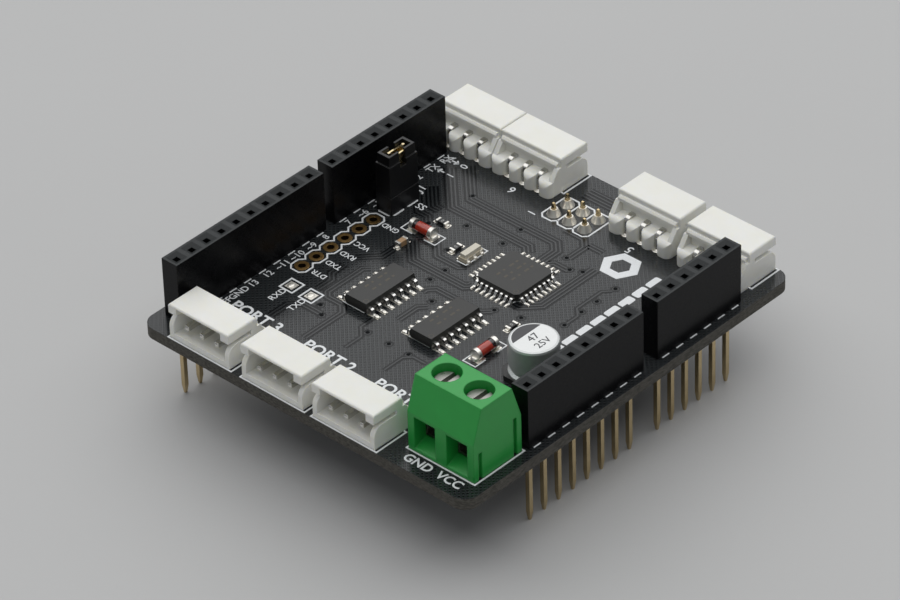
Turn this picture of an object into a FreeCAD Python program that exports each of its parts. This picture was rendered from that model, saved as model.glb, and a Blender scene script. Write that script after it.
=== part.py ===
import FreeCAD, Part
import math
import os

# Servo driver board that stacks on a controller board.
# Millimetres. +X runs along the header rows, away from the wire terminal.
# +Y runs from the power and analog headers towards the digital headers.
# The origin is below the middle of the board, level with the pin tips.

V = FreeCAD.Vector

# Board outline
board_length = 58.4
board_width = 53.34
board_thickness = 1.6
board_corner_radius = 2.0
pin_reach = 10.2
board_underside = pin_reach
board_top = board_underside + board_thickness

# Pin grid and stacking headers
pitch = 2.54
row_inset = 2.54
header_width = 2.54
header_height = 8.5
header_pin = 0.6
header_tip = 0.3
header_tip_length = 1.2
funnel_mouth = 1.9
funnel_throat = 0.76
funnel_depth = 0.3
funnel_lip = 0.55
pocket_along = 1.3
pocket_across = 1.7
contact_rise = 0.3
contact_foot = 1.0
tine_width = 0.9
tine_thickness = 0.25
tine_top_gap = 0.15
tine_headroom = 0.35
tine_flare_length = 0.8
tine_flare = 0.2
digital_long_pins = 10
digital_short_pins = 8
power_pins = 8
analog_pins = 6
digital_long_first = 4.3
digital_row_break = 4.064
power_first = 13.444
analog_row_break = 5.08

# Through-hole joints
hole_clearance = 0.075
fillet_flare = 0.43
fillet_height = 0.9
fillet_tip_flare = 0.02

# Serial port holes with their plated eyelets
serial_count = 6
serial_first = 21.01
serial_row_drop = 4.24
eyelet_outer_radius = 0.55
eyelet_bore_radius = 0.5
eyelet_flange_radius = 0.95
eyelet_flange = 0.07

# Solder pads for the serial signals
pad_size = 1.27
pad_thickness = 0.07
pad_left = 17.25
pad_rxd_front = 44.64
pad_txd_front = 41.37

# Programming socket, two by three, hung below the board
prog_left = 50.4
prog_front = 27.94
prog_columns = 2
prog_rows = 3
prog_tail = 1.7

# Servo ports
port_width = 10.0
port_height = 5.0
port_depth = 4.9
port_wall = 0.7
port_floor = 0.8
port_back = 1.0
port_roof = 1.3
port_roof_thin = 0.6
port_roof_ear = 1.3
port_roof_chamfer = 0.3
port_slot = 0.6
port_roof_rounding = 0.25
port_nose_radius = 1.4
port_ridge_depth = 0.5
port_ridge_top = 4.3
port_ridge_bottom = 3.6
port_gusset_depth = 0.5
port_gusset_height = 3.7
port_gusset_foot = 1.6
port_pillar_depth = 2.35
port_pillar_height = 2.2
port_pin_play = 0.03
port_pillar_rounding = 0.85
port_pin_pitch = 2.5
port_pin_count = 3
port_pin = 0.64
port_pin_height = 2.2
port_pin_setback = 0.35
port_pin_bend = 6.1
port_pin_bend_radius = 0.3
port_pin_tail = 1.5
port_edge_inset = 0.3
near_ports = (19.74, 31.4, 43.51)
far_ports = (7.39, 18.44, 37.84, 47.99)

# Screw terminal
terminal_left = 7.4
terminal_front = 6.94
terminal_depth = 8.2
terminal_side = 0.61
terminal_height = 10.0
terminal_pitch = 5.08
terminal_kink = 5.4
terminal_top_depth = 5.2
terminal_floor = 0.8
terminal_ceiling = 7.0
terminal_ledge = 0.3
terminal_entry_width = 3.3
terminal_entry_low = 1.3
terminal_entry_high = 5.0
terminal_entry_lip = 0.9
terminal_groove_width = 0.6
terminal_groove_top = 3.85
terminal_groove_depth = 0.45
terminal_groove_inset = 1.1
terminal_pocket_front = 2.1
terminal_pocket_rear = 3.0
clamp_depth = 3.9
clamp_height = 4.4
clamp_floor = 0.6
clamp_wall = 0.45
clamp_nut = 1.0
clamp_play = 0.05
screw_radius = 1.5
screw_play = 0.05
screw_head_overhang = 0.2
screw_head_height = 1.7
screw_head_play = 0.12
screw_slot_width = 0.65
screw_slot_depth = 0.8
screw_head_chamfer = 0.2
tongue_height = 3.3
tongue_thickness = 0.6
tongue_width = 2.4
tongue_front = 1.6
leg_front = 2.3
leg_width = 1.0
leg_tail = 1.6

# Jumper
jumper_left = 38.17
jumper_row_drop = 4.24
jumper_pins = 2
jumper_base_height = 2.54
jumper_base_width = 2.5
jumper_pin = 0.64
jumper_pin_top = 8.4
jumper_pin_tail = 1.4
jumper_pin_point = 0.35
jumper_cap_height = 6.0
jumper_cap_length = 5.0
jumper_cap_width = 2.4
jumper_cap_neck = 0.2
jumper_cap_neck_height = 1.4
jumper_cap_wall = 0.4
jumper_notch_width = 1.1
jumper_notch_depth = 2.2
jumper_spring = 0.25
jumper_spring_play = 0.04
jumper_spring_foot = 0.5
jumper_spring_top = 0.6
jumper_bridge = 0.8
jumper_bridge_drop = 1.2

# Gull-wing chips
micro_left = 35.8
micro_front = 24.89
micro_body = 7.0
micro_height = 1.0
micro_standoff = 0.1
micro_lead_count = 8
micro_lead_pitch = 0.8
micro_lead_width = 0.37
micro_lead_thickness = 0.15
micro_lead_reach = 1.0
micro_lead_shoulder = 0.15
micro_lead_toe = 0.5
micro_corner = 0.5
buffer_left = 23.18
buffer_a_front = 35.44
buffer_b_front = 24.74
buffer_length = 8.65
buffer_width = 3.65
buffer_height = 1.35
buffer_standoff = 0.15
buffer_lead_count = 7
buffer_lead_pitch = 1.27
buffer_lead_width = 0.42
buffer_lead_thickness = 0.22
buffer_lead_reach = 1.175
buffer_lead_shoulder = 0.41
buffer_lead_toe = 0.65
body_draft = 0.12

# Electrolytic capacitor
can_left = 23.35
can_front = 10.44
can_radius = 3.15
can_top = 5.45
can_bottom = 0.75
can_wall = 0.25
can_roll = 0.35
can_waist_radius = 2.85
can_waist_low = 1.3
can_waist_high = 1.75
can_rim_radius = 3.2
can_rim_height = 0.25
can_base = 6.6
can_base_height = 0.75
can_base_corner = 1.3
can_seal_height = 1.0
can_core_clearance = 0.3
can_strap_width = 0.7
can_strap_thickness = 0.2
can_strap_overhang = 0.5
can_wire_spacing = 2.2
can_wire_radius = 0.3

# Glass diodes
diode_a_left = 35.66
diode_a_front = 39.94
diode_b_left = 22.6
diode_b_front = 17.71
diode_length = 3.6
diode_cap_length = 0.55
diode_cap_radius = 0.78
diode_glass_radius = 0.7
diode_flat = 0.05
diode_core_radius = 0.42

# Ceramic resonator
resonator_left = 35.95
resonator_front = 32.29
resonator_length = 3.2
resonator_width = 1.3
resonator_base_height = 0.55
resonator_lid_inset = 0.2
resonator_lid_height = 0.5
resonator_terminals = 3
resonator_terminal_pitch = 1.2
resonator_terminal_width = 0.45
resonator_terminal_depth = 0.1

# Chip resistors and chip capacitor
chip_length = 1.6
chip_width = 0.8
chip_end = 0.3
chip_resistor_height = 0.45
chip_capacitor_height = 0.8
chip_step = 0.03
resistor_a_left = 35.8
resistor_a_front = 34.61
resistor_b_left = 28.45
resistor_b_front = 18.74
resistor_c_left = 38.7
resistor_c_front = 39.54
capacitor_left = 32.15
capacitor_front = 40.29

digital_row = board_width - row_inset
power_row = row_inset
digital_short_first = digital_long_first + (digital_long_pins - 1) * pitch + digital_row_break
analog_first = power_first + (power_pins - 1) * pitch + analog_row_break
serial_row = digital_row - serial_row_drop
jumper_row = digital_row - jumper_row_drop
screw_head_radius = screw_radius + screw_head_overhang
clamp_half_width = screw_radius + screw_play + clamp_wall
clamp_pocket_half = clamp_half_width + clamp_play
terminal_half_width = terminal_pitch / 2 + clamp_pocket_half + terminal_side


def block(x_low, x_high, y_low, y_high, z_low, z_high):
    """Box between two corners."""
    return Part.makeBox(x_high - x_low, y_high - y_low, z_high - z_low, V(x_low, y_low, z_low))


def rod(radius, x, y, z_low, z_high):
    """Upright cylinder."""
    return Part.makeCylinder(radius, z_high - z_low, V(x, y, z_low))


def side_prism(points, y_low, y_high):
    """Side-view outline of (x, z) points, run along Y."""
    corners = [V(x, y_low, z) for x, z in points]
    face = Part.Face(Part.makePolygon(corners + corners[:1]))
    return face.extrude(V(0, y_high - y_low, 0))


def end_prism(points, x_low, x_high):
    """End-view outline of (y, z) points, run along X."""
    corners = [V(x_low, y, z) for y, z in points]
    face = Part.Face(Part.makePolygon(corners + corners[:1]))
    return face.extrude(V(x_high - x_low, 0, 0))


def square_ring(half, z):
    """Square wire centred on the Z axis."""
    corners = [V(-half, -half, z), V(half, -half, z), V(half, half, z), V(-half, half, z)]
    return Part.makePolygon(corners + corners[:1])


def square_taper(low_size, z_low, high_size, z_high):
    """Square section that changes size between two heights."""
    return Part.makeLoft([square_ring(low_size / 2, z_low), square_ring(high_size / 2, z_high)], True)


def fuse(shapes):
    """One solid from touching or overlapping pieces."""
    return shapes[0].multiFuse(shapes[1:]).removeSplitter()


def moved(shape, x, y, z):
    """Copy shifted by a distance."""
    copy = shape.copy()
    copy.translate(V(x, y, z))
    return copy


def on_board(shape, left, front, turn=0):
    """Copy turned about its own upright axis and set down on the board's top face."""
    copy = shape.copy()
    copy.rotate(V(0, 0, 0), V(0, 0, 1), turn)
    copy.translate(V(left - board_length / 2, front - board_width / 2, board_top))
    return copy


def repeated(shape, count, step):
    """Copies in a row along X."""
    return [moved(shape, index * step, 0, 0) for index in range(count)]


def save(name, shapes):
    """One file per sub-part; several separate solids go in as a group."""
    solids = [solid for shape in shapes for solid in shape.Solids]
    result = solids[0] if len(solids) == 1 else Part.makeCompound(solids)
    result.exportStep("parts/" + name + ".step")


# Stacking headers

def header_housing(count):
    """Moulded bar with one funnel, throat and contact pocket for each pin."""
    half = header_width / 2
    bar = block(-pitch / 2, (count - 0.5) * pitch, -half, half, 0, header_height)
    throat_top = header_height - funnel_depth
    pocket_top = throat_top - funnel_lip
    overshoot = 0.1
    slope = (funnel_mouth - funnel_throat) / funnel_depth
    funnel = square_taper(funnel_throat, throat_top, funnel_mouth + slope * overshoot,
                          header_height + overshoot)
    throat_half = funnel_throat / 2
    throat = block(-throat_half, throat_half, -throat_half, throat_half, pocket_top, throat_top)
    pocket = block(-pocket_along / 2, pocket_along / 2, -pocket_across / 2, pocket_across / 2,
                   -overshoot, pocket_top)
    hollow = fuse([funnel, throat, pocket])
    return bar.cut(Part.makeCompound(repeated(hollow, count, pitch)))


def header_contact(tail):
    """Two spring tines on a foot, with a square pin that goes down through the board."""
    foot = block(-pocket_along / 2, pocket_along / 2, -pocket_across / 2, pocket_across / 2,
                 contact_rise, contact_rise + contact_foot)
    foot_top = contact_rise + contact_foot
    tine_top = header_height - funnel_depth - funnel_lip - tine_headroom
    pinch = tine_top - tine_flare_length
    root = pocket_across / 2 - tine_thickness
    tine = end_prism([(root, foot_top), (root + tine_thickness, foot_top),
                      (tine_top_gap + tine_thickness, pinch),
                      (tine_top_gap + tine_thickness + tine_flare, tine_top),
                      (tine_top_gap + tine_flare, tine_top),
                      (tine_top_gap, pinch)], -tine_width / 2, tine_width / 2)
    partner = tine.mirror(V(0, 0, 0), V(0, 1, 0))
    half = header_pin / 2
    shank = block(-half, half, -half, half, header_tip_length - tail, contact_rise)
    tip = square_taper(header_tip, -tail, header_pin, header_tip_length - tail)
    return fuse([foot, tine, partner, shank, tip])


def header(count, first_left, front, prefix):
    """Housing and contacts of one stacking header."""
    tail = board_thickness + pin_reach
    save(prefix + "_housing", [on_board(header_housing(count), first_left, front)])
    contacts = repeated(header_contact(tail), count, pitch)
    save(prefix + "_contacts", [on_board(contact, first_left, front) for contact in contacts])


def programming_socket():
    """Two by three female header that hangs from the underside, with its tails pointing up."""
    length = prog_columns * pitch
    width = prog_rows * pitch
    row = header_housing(prog_columns)
    rows = [moved(row, -(prog_columns - 1) * pitch / 2, (index - (prog_rows - 1) / 2) * pitch, 0)
            for index in range(prog_rows)]
    housing = fuse(rows).common(block(-length / 2, length / 2, -width / 2, width / 2, 0, header_height))
    contact = header_contact(board_thickness + prog_tail)
    contacts = [moved(contact, (column - (prog_columns - 1) / 2) * pitch,
                      (index - (prog_rows - 1) / 2) * pitch, 0)
                for column in range(prog_columns) for index in range(prog_rows)]
    hung = []
    for shape in [housing] + contacts:
        shape.rotate(V(0, 0, 0), V(1, 0, 0), 180)
        hung.append(moved(on_board(shape, prog_left, prog_front), 0, 0, -board_thickness))
    save("programming_socket_housing", hung[:1])
    save("programming_socket_contacts", hung[1:])


# Servo ports

def port_housing():
    """Side-entry shell: floor, side walls with rounded noses, roof, back, pillars and two gussets."""
    half = port_width / 2
    roof_low = port_height - port_roof
    wall_top = roof_low - port_slot
    inner = port_depth - port_back
    floor = block(0, port_depth, -half, half, 0, port_floor)
    back = block(inner, port_depth, -half, half, 0, roof_low)
    wall = block(0, port_depth, half - port_wall, half, 0, wall_top)
    nose = block(0, port_nose_radius, half - port_wall, half, wall_top - port_nose_radius, wall_top)
    disc = Part.makeCylinder(port_nose_radius, port_wall,
                             V(port_nose_radius, half - port_wall, wall_top - port_nose_radius),
                             V(0, 1, 0))
    wall = wall.cut(nose.cut(disc))
    gusset_rear = port_depth + port_gusset_foot
    gusset = side_prism([(port_depth, 0), (port_depth, port_gusset_height),
                         (port_depth + port_gusset_depth, port_gusset_height),
                         (gusset_rear, port_pillar_height), (gusset_rear, 0)],
                        half - port_wall, half)
    side = fuse([wall, gusset])
    roof = block(0, port_depth, -half, half, roof_low, port_height)
    rim = [edge for edge in roof.Edges if edge.BoundBox.ZMin > roof_low + port_roof / 2]
    roof = roof.makeFillet(port_roof_rounding, rim)
    key_half = half - port_roof_ear
    thin_low = port_height - port_roof_thin
    keyway = side_prism([(0, roof_low), (inner, roof_low), (inner, thin_low),
                         (port_roof_chamfer, thin_low), (0, thin_low + port_roof_chamfer)],
                        -key_half, key_half)
    roof = roof.cut(keyway)
    ridge = side_prism([(port_depth, port_ridge_top), (port_depth + port_ridge_depth / 2, port_ridge_top),
                        (port_depth + port_ridge_depth, port_ridge_top - port_ridge_depth / 2),
                        (port_depth + port_ridge_depth, port_ridge_bottom),
                        (port_depth, port_ridge_bottom)], -half + port_wall / 2, half - port_wall / 2)
    pillar_rear = port_depth + port_pillar_depth
    pillar_half = (port_pin_pitch - port_pin) / 2 - port_pin_play
    pillars = []
    for index in range(port_pin_count + 1):
        centre = (index - port_pin_count / 2) * port_pin_pitch
        right = -half if index == 0 else centre - pillar_half
        left = half if index == port_pin_count else centre + pillar_half
        pillar = block(port_depth, pillar_rear, right, left, 0, port_pillar_height)
        outer_edges = [edge for edge in pillar.Edges
                       if edge.CenterOfMass.x > pillar_rear - port_pin
                       and edge.CenterOfMass.z > port_pillar_height / 4]
        pillars.append(pillar.makeFillet(port_pillar_rounding, outer_edges))
    shell = fuse([floor, back, side, side.mirror(V(0, 0, 0), V(0, 1, 0)), roof, ridge] + pillars)
    pin_half = port_pin / 2
    for index in range(port_pin_count):
        centre = (index - (port_pin_count - 1) / 2) * port_pin_pitch
        shell = shell.cut(block(0, port_depth + port_pillar_depth, centre - pin_half, centre + pin_half,
                                port_pin_height - pin_half, port_pin_height + pin_half))
    return shell


def port_pin_solid():
    """Square pin that runs back out of the shell and turns down through the board."""
    half = port_pin / 2
    inner = port_pin_bend_radius
    outer = inner + port_pin
    top = port_pin_height + half
    low = port_pin_height - half
    rear = port_pin_bend + half
    centre_x = rear - outer
    centre_z = top - outer
    tail = -board_thickness - port_pin_tail
    diagonal = math.sqrt(0.5)
    edges = [
        Part.makeLine(V(port_pin_setback, -half, top), V(centre_x, -half, top)),
        Part.Arc(V(centre_x, -half, top),
                 V(centre_x + outer * diagonal, -half, centre_z + outer * diagonal),
                 V(rear, -half, centre_z)).toShape(),
        Part.makeLine(V(rear, -half, centre_z), V(rear, -half, tail)),
        Part.makeLine(V(rear, -half, tail), V(rear - port_pin, -half, tail)),
        Part.makeLine(V(rear - port_pin, -half, tail), V(rear - port_pin, -half, centre_z)),
        Part.Arc(V(rear - port_pin, -half, centre_z),
                 V(centre_x + inner * diagonal, -half, centre_z + inner * diagonal),
                 V(centre_x, -half, low)).toShape(),
        Part.makeLine(V(centre_x, -half, low), V(port_pin_setback, -half, low)),
        Part.makeLine(V(port_pin_setback, -half, low), V(port_pin_setback, -half, top)),
    ]
    pin = Part.Face(Part.Wire(edges)).extrude(V(0, port_pin, 0))
    point_edges = [edge for edge in pin.Edges
                   if abs(edge.CenterOfMass.x - port_pin_setback) < port_pin / 10]
    return pin.makeChamfer(port_pin / 4, point_edges)


def port_places():
    """Front position, centre line and turn of every servo port."""
    near = [(port_edge_inset, front, 0) for front in near_ports]
    far = [(board_length - port_edge_inset, front, 180) for front in far_ports]
    return near + far


def servo_ports():
    """Seven shells, each with three pins."""
    shell = port_housing()
    pin = port_pin_solid()
    for number, (left, front, turn) in enumerate(port_places(), 1):
        name = "servo_port_" + str(number)
        save(name + "_housing", [on_board(shell, left, front, turn)])
        pins = [moved(pin, 0, (index - (port_pin_count - 1) / 2) * port_pin_pitch, 0)
                for index in range(port_pin_count)]
        save(name + "_pins", [on_board(part, left, front, turn) for part in pins])


# Screw terminal

def pole_offsets():
    """Centre lines of the two poles."""
    return (-terminal_pitch / 2, terminal_pitch / 2)


def terminal_housing():
    """Moulded block with a sloped front and back, wire entries, clamp pockets and screw bores."""
    half_depth = terminal_depth / 2
    half_top = terminal_top_depth / 2
    body = side_prism([(-half_depth, 0), (half_depth, 0), (half_depth, terminal_kink),
                       (half_top, terminal_height), (-half_top, terminal_height),
                       (-half_depth, terminal_kink)], -terminal_half_width, terminal_half_width)
    entry_half = terminal_entry_width / 2
    shank_radius = screw_radius + screw_play
    hollows = []
    for pole in pole_offsets():
        hollows.append(block(-terminal_pocket_front, terminal_pocket_rear, pole - clamp_pocket_half,
                             pole + clamp_pocket_half, 0, terminal_ceiling))
        hollows.append(block(-half_depth, 0, pole - entry_half, pole + entry_half,
                             terminal_entry_low, terminal_entry_high))
        hollows.append(side_prism([(-half_depth, terminal_entry_low - terminal_entry_lip),
                                   (-terminal_pocket_front, terminal_entry_low),
                                   (-half_depth, terminal_entry_low)], pole - entry_half, pole + entry_half))
        hollows.append(rod(shank_radius, 0, pole, terminal_ceiling, terminal_ceiling + terminal_ledge))
        hollows.append(rod(screw_head_radius + screw_head_play, 0, pole,
                           terminal_ceiling + terminal_ledge, terminal_height))
    groove_far = terminal_half_width - terminal_groove_depth
    for inset, groove_top in ((-half_depth + terminal_groove_inset, terminal_groove_top),
                              (half_depth - terminal_groove_inset, terminal_kink)):
        for side in (-1, 1):
            low, high = sorted((side * groove_far, side * terminal_half_width))
            hollows.append(block(inset - terminal_groove_width / 2, inset + terminal_groove_width / 2,
                                 low, high, 0, groove_top))
    return body.cut(Part.makeCompound(hollows))


def terminal_base():
    """Two closing plates under the clamp pockets, each slotted for its terminal leg."""
    plates = []
    for pole in pole_offsets():
        plate = block(-terminal_pocket_front, terminal_pocket_rear, pole - clamp_pocket_half,
                      pole + clamp_pocket_half, 0, terminal_floor)
        leg = block(leg_front, leg_front + tongue_thickness, pole - leg_width / 2,
                    pole + leg_width / 2, 0, terminal_floor)
        plates.append(plate.cut(leg))
    return plates


def terminal_leg(pole):
    """Fixed tongue inside the clamp, bent down into a solder leg."""
    top = tongue_height + tongue_thickness
    tongue = block(-tongue_front, leg_front + tongue_thickness, pole - tongue_width / 2,
                   pole + tongue_width / 2, tongue_height, top)
    leg = block(leg_front, leg_front + tongue_thickness, pole - leg_width / 2, pole + leg_width / 2,
                -board_thickness - leg_tail, tongue_height)
    return fuse([tongue, leg])


def wire_clamp(pole):
    """Rising cage: a rectangular tube along the wire, with a tapped crown for the screw."""
    half_depth = clamp_depth / 2
    inner_half = clamp_half_width - clamp_wall
    low = terminal_floor
    high = low + clamp_height
    outer = block(-half_depth, half_depth, pole - clamp_half_width, pole + clamp_half_width, low, high)
    inner = block(-half_depth, half_depth, pole - inner_half, pole + inner_half,
                  low + clamp_floor, high - clamp_nut)
    tapped = rod(screw_radius + screw_play, 0, pole, high - clamp_nut, high)
    return outer.cut(inner).cut(tapped)


def clamp_screw(pole):
    """Slotted cheese-head screw whose end bears on the fixed tongue."""
    seat = terminal_ceiling + terminal_ledge
    top = seat + screw_head_height
    shank = rod(screw_radius, 0, pole, tongue_height + tongue_thickness, seat)
    head = rod(screw_head_radius, 0, pole, seat, top)
    rim = [edge for edge in head.Edges if abs(edge.CenterOfMass.z - top) < screw_head_chamfer / 10]
    head = head.makeChamfer(screw_head_chamfer, rim)
    screw = fuse([shank, head])
    slot = block(-screw_head_radius, screw_head_radius, pole - screw_slot_width / 2,
                 pole + screw_slot_width / 2, top - screw_slot_depth, top)
    return screw.cut(slot)


def screw_terminal():
    """Two-pole terminal with its clamps and screws."""
    place = (terminal_left, terminal_front)
    save("terminal_housing", [on_board(terminal_housing(), *place)])
    save("terminal_base_plates", [on_board(plate, *place) for plate in terminal_base()])
    save("terminal_legs", [on_board(terminal_leg(pole), *place) for pole in pole_offsets()])
    for number, pole in enumerate(pole_offsets(), 1):
        save("wire_clamp_" + str(number), [on_board(wire_clamp(pole), *place)])
        save("clamp_screw_" + str(number), [on_board(clamp_screw(pole), *place)])


# Jumper

def jumper():
    """Two-pin header with a pull-off shorting cap."""
    half_length = jumper_pins * pitch / 2
    half_width = jumper_base_width / 2
    half_pin = jumper_pin / 2
    offsets = [(index - (jumper_pins - 1) / 2) * pitch for index in range(jumper_pins)]
    place = (jumper_left, jumper_row)
    base = block(-half_length, half_length, -half_width, half_width, 0, jumper_base_height)
    pins = []
    for offset in offsets:
        slot = block(offset - half_pin, offset + half_pin, -half_pin, half_pin, 0, jumper_base_height)
        base = base.cut(slot)
        shank = block(-half_pin, half_pin, -half_pin, half_pin, -board_thickness - jumper_pin_tail,
                      jumper_pin_top - jumper_pin_point)
        point = square_taper(jumper_pin, jumper_pin_top - jumper_pin_point, jumper_pin / 2,
                             jumper_pin_top)
        pins.append(moved(fuse([shank, point]), offset, 0, 0))
    save("jumper_base", [on_board(base, *place)])
    save("jumper_pins", [on_board(pin, *place) for pin in pins])

    cap_low = jumper_base_height
    cap_top = cap_low + jumper_cap_height
    shoulder = cap_top - jumper_cap_neck_height
    length_half = jumper_cap_length / 2
    width_half = jumper_cap_width / 2
    body = block(-length_half, length_half, -width_half, width_half, cap_low, shoulder)
    neck = block(-length_half + jumper_cap_neck, length_half - jumper_cap_neck,
                 -width_half + jumper_cap_neck, width_half - jumper_cap_neck, shoulder, cap_top)
    well_x = length_half - jumper_cap_wall - jumper_cap_neck
    well_y = width_half - jumper_cap_wall - jumper_cap_neck / 2
    well = block(-well_x, well_x, -well_y, well_y, cap_low, cap_top)
    notch = block(-jumper_notch_width / 2, jumper_notch_width / 2, -width_half, width_half,
                  cap_top - jumper_notch_depth, cap_top)
    cap = fuse([body, neck]).cut(well).cut(notch)
    save("jumper_cap", [on_board(cap, *place)])

    leaf_inner = half_pin + jumper_spring_play
    leaf_low = cap_low + jumper_spring_foot
    leaf_top = cap_top - jumper_spring_top
    leaf = block(-well_x, well_x, leaf_inner, leaf_inner + jumper_spring, leaf_low, leaf_top)
    bridge_top = leaf_top - jumper_bridge_drop
    bridge = block(-jumper_bridge / 2, jumper_bridge / 2, -leaf_inner, leaf_inner,
                   bridge_top - jumper_spring, bridge_top)
    spring = fuse([leaf, leaf.mirror(V(0, 0, 0), V(0, 1, 0)), bridge])
    save("jumper_spring", [on_board(spring, *place)])


# Gull-wing chips

def gull_lead(body_half, mid_height, reach, shoulder, toe, width, thickness):
    """Bent lead from the body's side down to the board, for the +Y side."""
    top = mid_height + thickness / 2
    low = mid_height - thickness / 2
    end = body_half + reach
    knee = end - toe
    bend = body_half + shoulder
    profile = [(body_half, low), (body_half, top), (bend, top), (bend + thickness, top - thickness / 2),
               (knee + thickness, thickness), (end, thickness), (end, 0), (knee, 0), (bend, low)]
    return end_prism(profile, -width / 2, width / 2)


def moulded_body(length, width, height, low, draft):
    """Chip body that narrows a little above and below its middle."""
    middle = low + height / 2
    outline = []
    for half_x, half_y, z in ((length / 2 - draft, width / 2 - draft, low),
                              (length / 2, width / 2, middle),
                              (length / 2 - draft, width / 2 - draft, low + height)):
        corners = [V(-half_x, -half_y, z), V(half_x, -half_y, z), V(half_x, half_y, z),
                   V(-half_x, half_y, z)]
        outline.append(Part.makePolygon(corners + corners[:1]))
    lower = Part.makeLoft(outline[:2], True)
    upper = Part.makeLoft(outline[1:], True)
    return fuse([lower, upper])


def microcontroller():
    """Square chip with leads on four sides."""
    place = (micro_left, micro_front)
    middle = micro_standoff + micro_height / 2
    low_half = micro_body / 2 - body_draft
    body = moulded_body(micro_body, micro_body, micro_height, micro_standoff, body_draft)
    keep = Part.makeCylinder(micro_body * math.sqrt(0.5) - micro_corner, micro_height,
                             V(0, 0, micro_standoff))
    body = body.common(keep)
    lead = gull_lead(low_half, middle, micro_lead_reach + body_draft, micro_lead_shoulder + body_draft,
                     micro_lead_toe, micro_lead_width, micro_lead_thickness)
    offsets = [(index - (micro_lead_count - 1) / 2) * micro_lead_pitch
               for index in range(micro_lead_count)]
    leads = []
    for turn in (0, 90, 180, 270):
        for offset in offsets:
            copy = moved(lead, offset, 0, 0)
            copy.rotate(V(0, 0, 0), V(0, 0, 1), turn)
            leads.append(copy)
    body = body.cut(Part.makeCompound(leads))
    save("microcontroller_body", [on_board(body, *place)])
    save("microcontroller_leads", [on_board(part, *place) for part in leads])


def buffer_chip(number, left, front):
    """Small-outline chip with leads on its two long sides."""
    middle = buffer_standoff + buffer_height / 2
    low_half = buffer_width / 2 - body_draft
    body = moulded_body(buffer_length, buffer_width, buffer_height, buffer_standoff, body_draft)
    lead = gull_lead(low_half, middle, buffer_lead_reach + body_draft, buffer_lead_shoulder + body_draft,
                     buffer_lead_toe, buffer_lead_width, buffer_lead_thickness)
    leads = []
    for turn in (0, 180):
        for index in range(buffer_lead_count):
            copy = moved(lead, (index - (buffer_lead_count - 1) / 2) * buffer_lead_pitch, 0, 0)
            copy.rotate(V(0, 0, 0), V(0, 0, 1), turn)
            leads.append(copy)
    body = body.cut(Part.makeCompound(leads))
    name = "buffer_chip_" + str(number)
    save(name + "_body", [on_board(body, left, front)])
    save(name + "_leads", [on_board(part, left, front) for part in leads])


# Electrolytic capacitor

def turned(profile):
    """Solid of revolution about Z from (radius, z) points."""
    corners = [V(radius, 0, z) for radius, z in profile]
    face = Part.Face(Part.makePolygon(corners + corners[:1]))
    return face.revolve(V(0, 0, 0), V(0, 0, 1), 360)


def electrolytic():
    """Rolled aluminium can with its seal and winding, on a square base with two straps."""
    place = (can_left, can_front)
    outer = [(can_rim_radius, can_bottom), (can_rim_radius, can_bottom + can_rim_height),
             (can_waist_radius, can_waist_low), (can_waist_radius, can_waist_high),
             (can_radius, can_waist_high + can_radius - can_waist_radius),
             (can_radius, can_top - can_roll), (can_radius - can_roll / 3, can_top - can_roll / 3),
             (can_radius - can_roll, can_top)]
    inner_radius = can_waist_radius - can_wall
    profile = [(0, can_top)] + outer[::-1] + [(inner_radius, can_bottom),
                                              (inner_radius, can_top - can_wall),
                                              (0, can_top - can_wall)]
    can = turned(profile)
    save("capacitor_can", [on_board(can, *place)])

    half = can_base / 2
    corner = can_base_corner
    outline = [V(-half, -half, 0), V(half, -half, 0), V(half, half - corner, 0),
               V(half - corner, half, 0), V(-half + corner, half, 0), V(-half, half - corner, 0)]
    base = Part.Face(Part.makePolygon(outline + outline[:1])).extrude(V(0, 0, can_base_height))
    strap_half = can_strap_width / 2
    wire_offset = can_wire_spacing / 2
    seal = rod(inner_radius, 0, 0, can_bottom, can_bottom + can_seal_height)
    leads = []
    for side in (-1, 1):
        low, high = sorted((side * (wire_offset - strap_half), side * (half + can_strap_overhang)))
        strap = block(-strap_half, strap_half, low, high, 0, can_strap_thickness)
        wire = rod(can_wire_radius, 0, side * wire_offset, can_strap_thickness,
                   can_bottom + can_seal_height)
        leads.append(fuse([strap, wire]))
    leads_cut = Part.makeCompound(leads)
    save("capacitor_base", [on_board(base.cut(leads_cut), *place)])
    save("capacitor_seal", [on_board(seal.cut(leads_cut), *place)])
    save("capacitor_leads", [on_board(lead, *place) for lead in leads])
    core = rod(inner_radius - can_core_clearance, 0, 0, can_bottom + can_seal_height,
               can_top - can_wall - can_core_clearance)
    save("capacitor_winding", [on_board(core, *place)])


# Small two-ended parts

def glass_diode(number, left, front, turn):
    """Glass tube between two metal end caps, with flats where the caps meet the board."""
    axis_height = diode_cap_radius - diode_flat
    half = diode_length / 2
    glass_half = half - diode_cap_length
    along = V(1, 0, 0)
    glass = Part.makeCylinder(diode_glass_radius, 2 * glass_half, V(-glass_half, 0, axis_height), along)
    hollow = Part.makeCylinder(diode_core_radius, 2 * glass_half, V(-glass_half, 0, axis_height), along)
    caps = []
    for start in (-half, glass_half):
        cap = Part.makeCylinder(diode_cap_radius, diode_cap_length, V(start, 0, axis_height), along)
        caps.append(cap.cut(block(-diode_length, diode_length, -diode_length, diode_length,
                                  -diode_length, 0)))
    name = "diode_" + str(number)
    save(name + "_glass", [on_board(glass.cut(hollow), left, front, turn)])
    save(name + "_caps", [on_board(cap, left, front, turn) for cap in caps])


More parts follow.
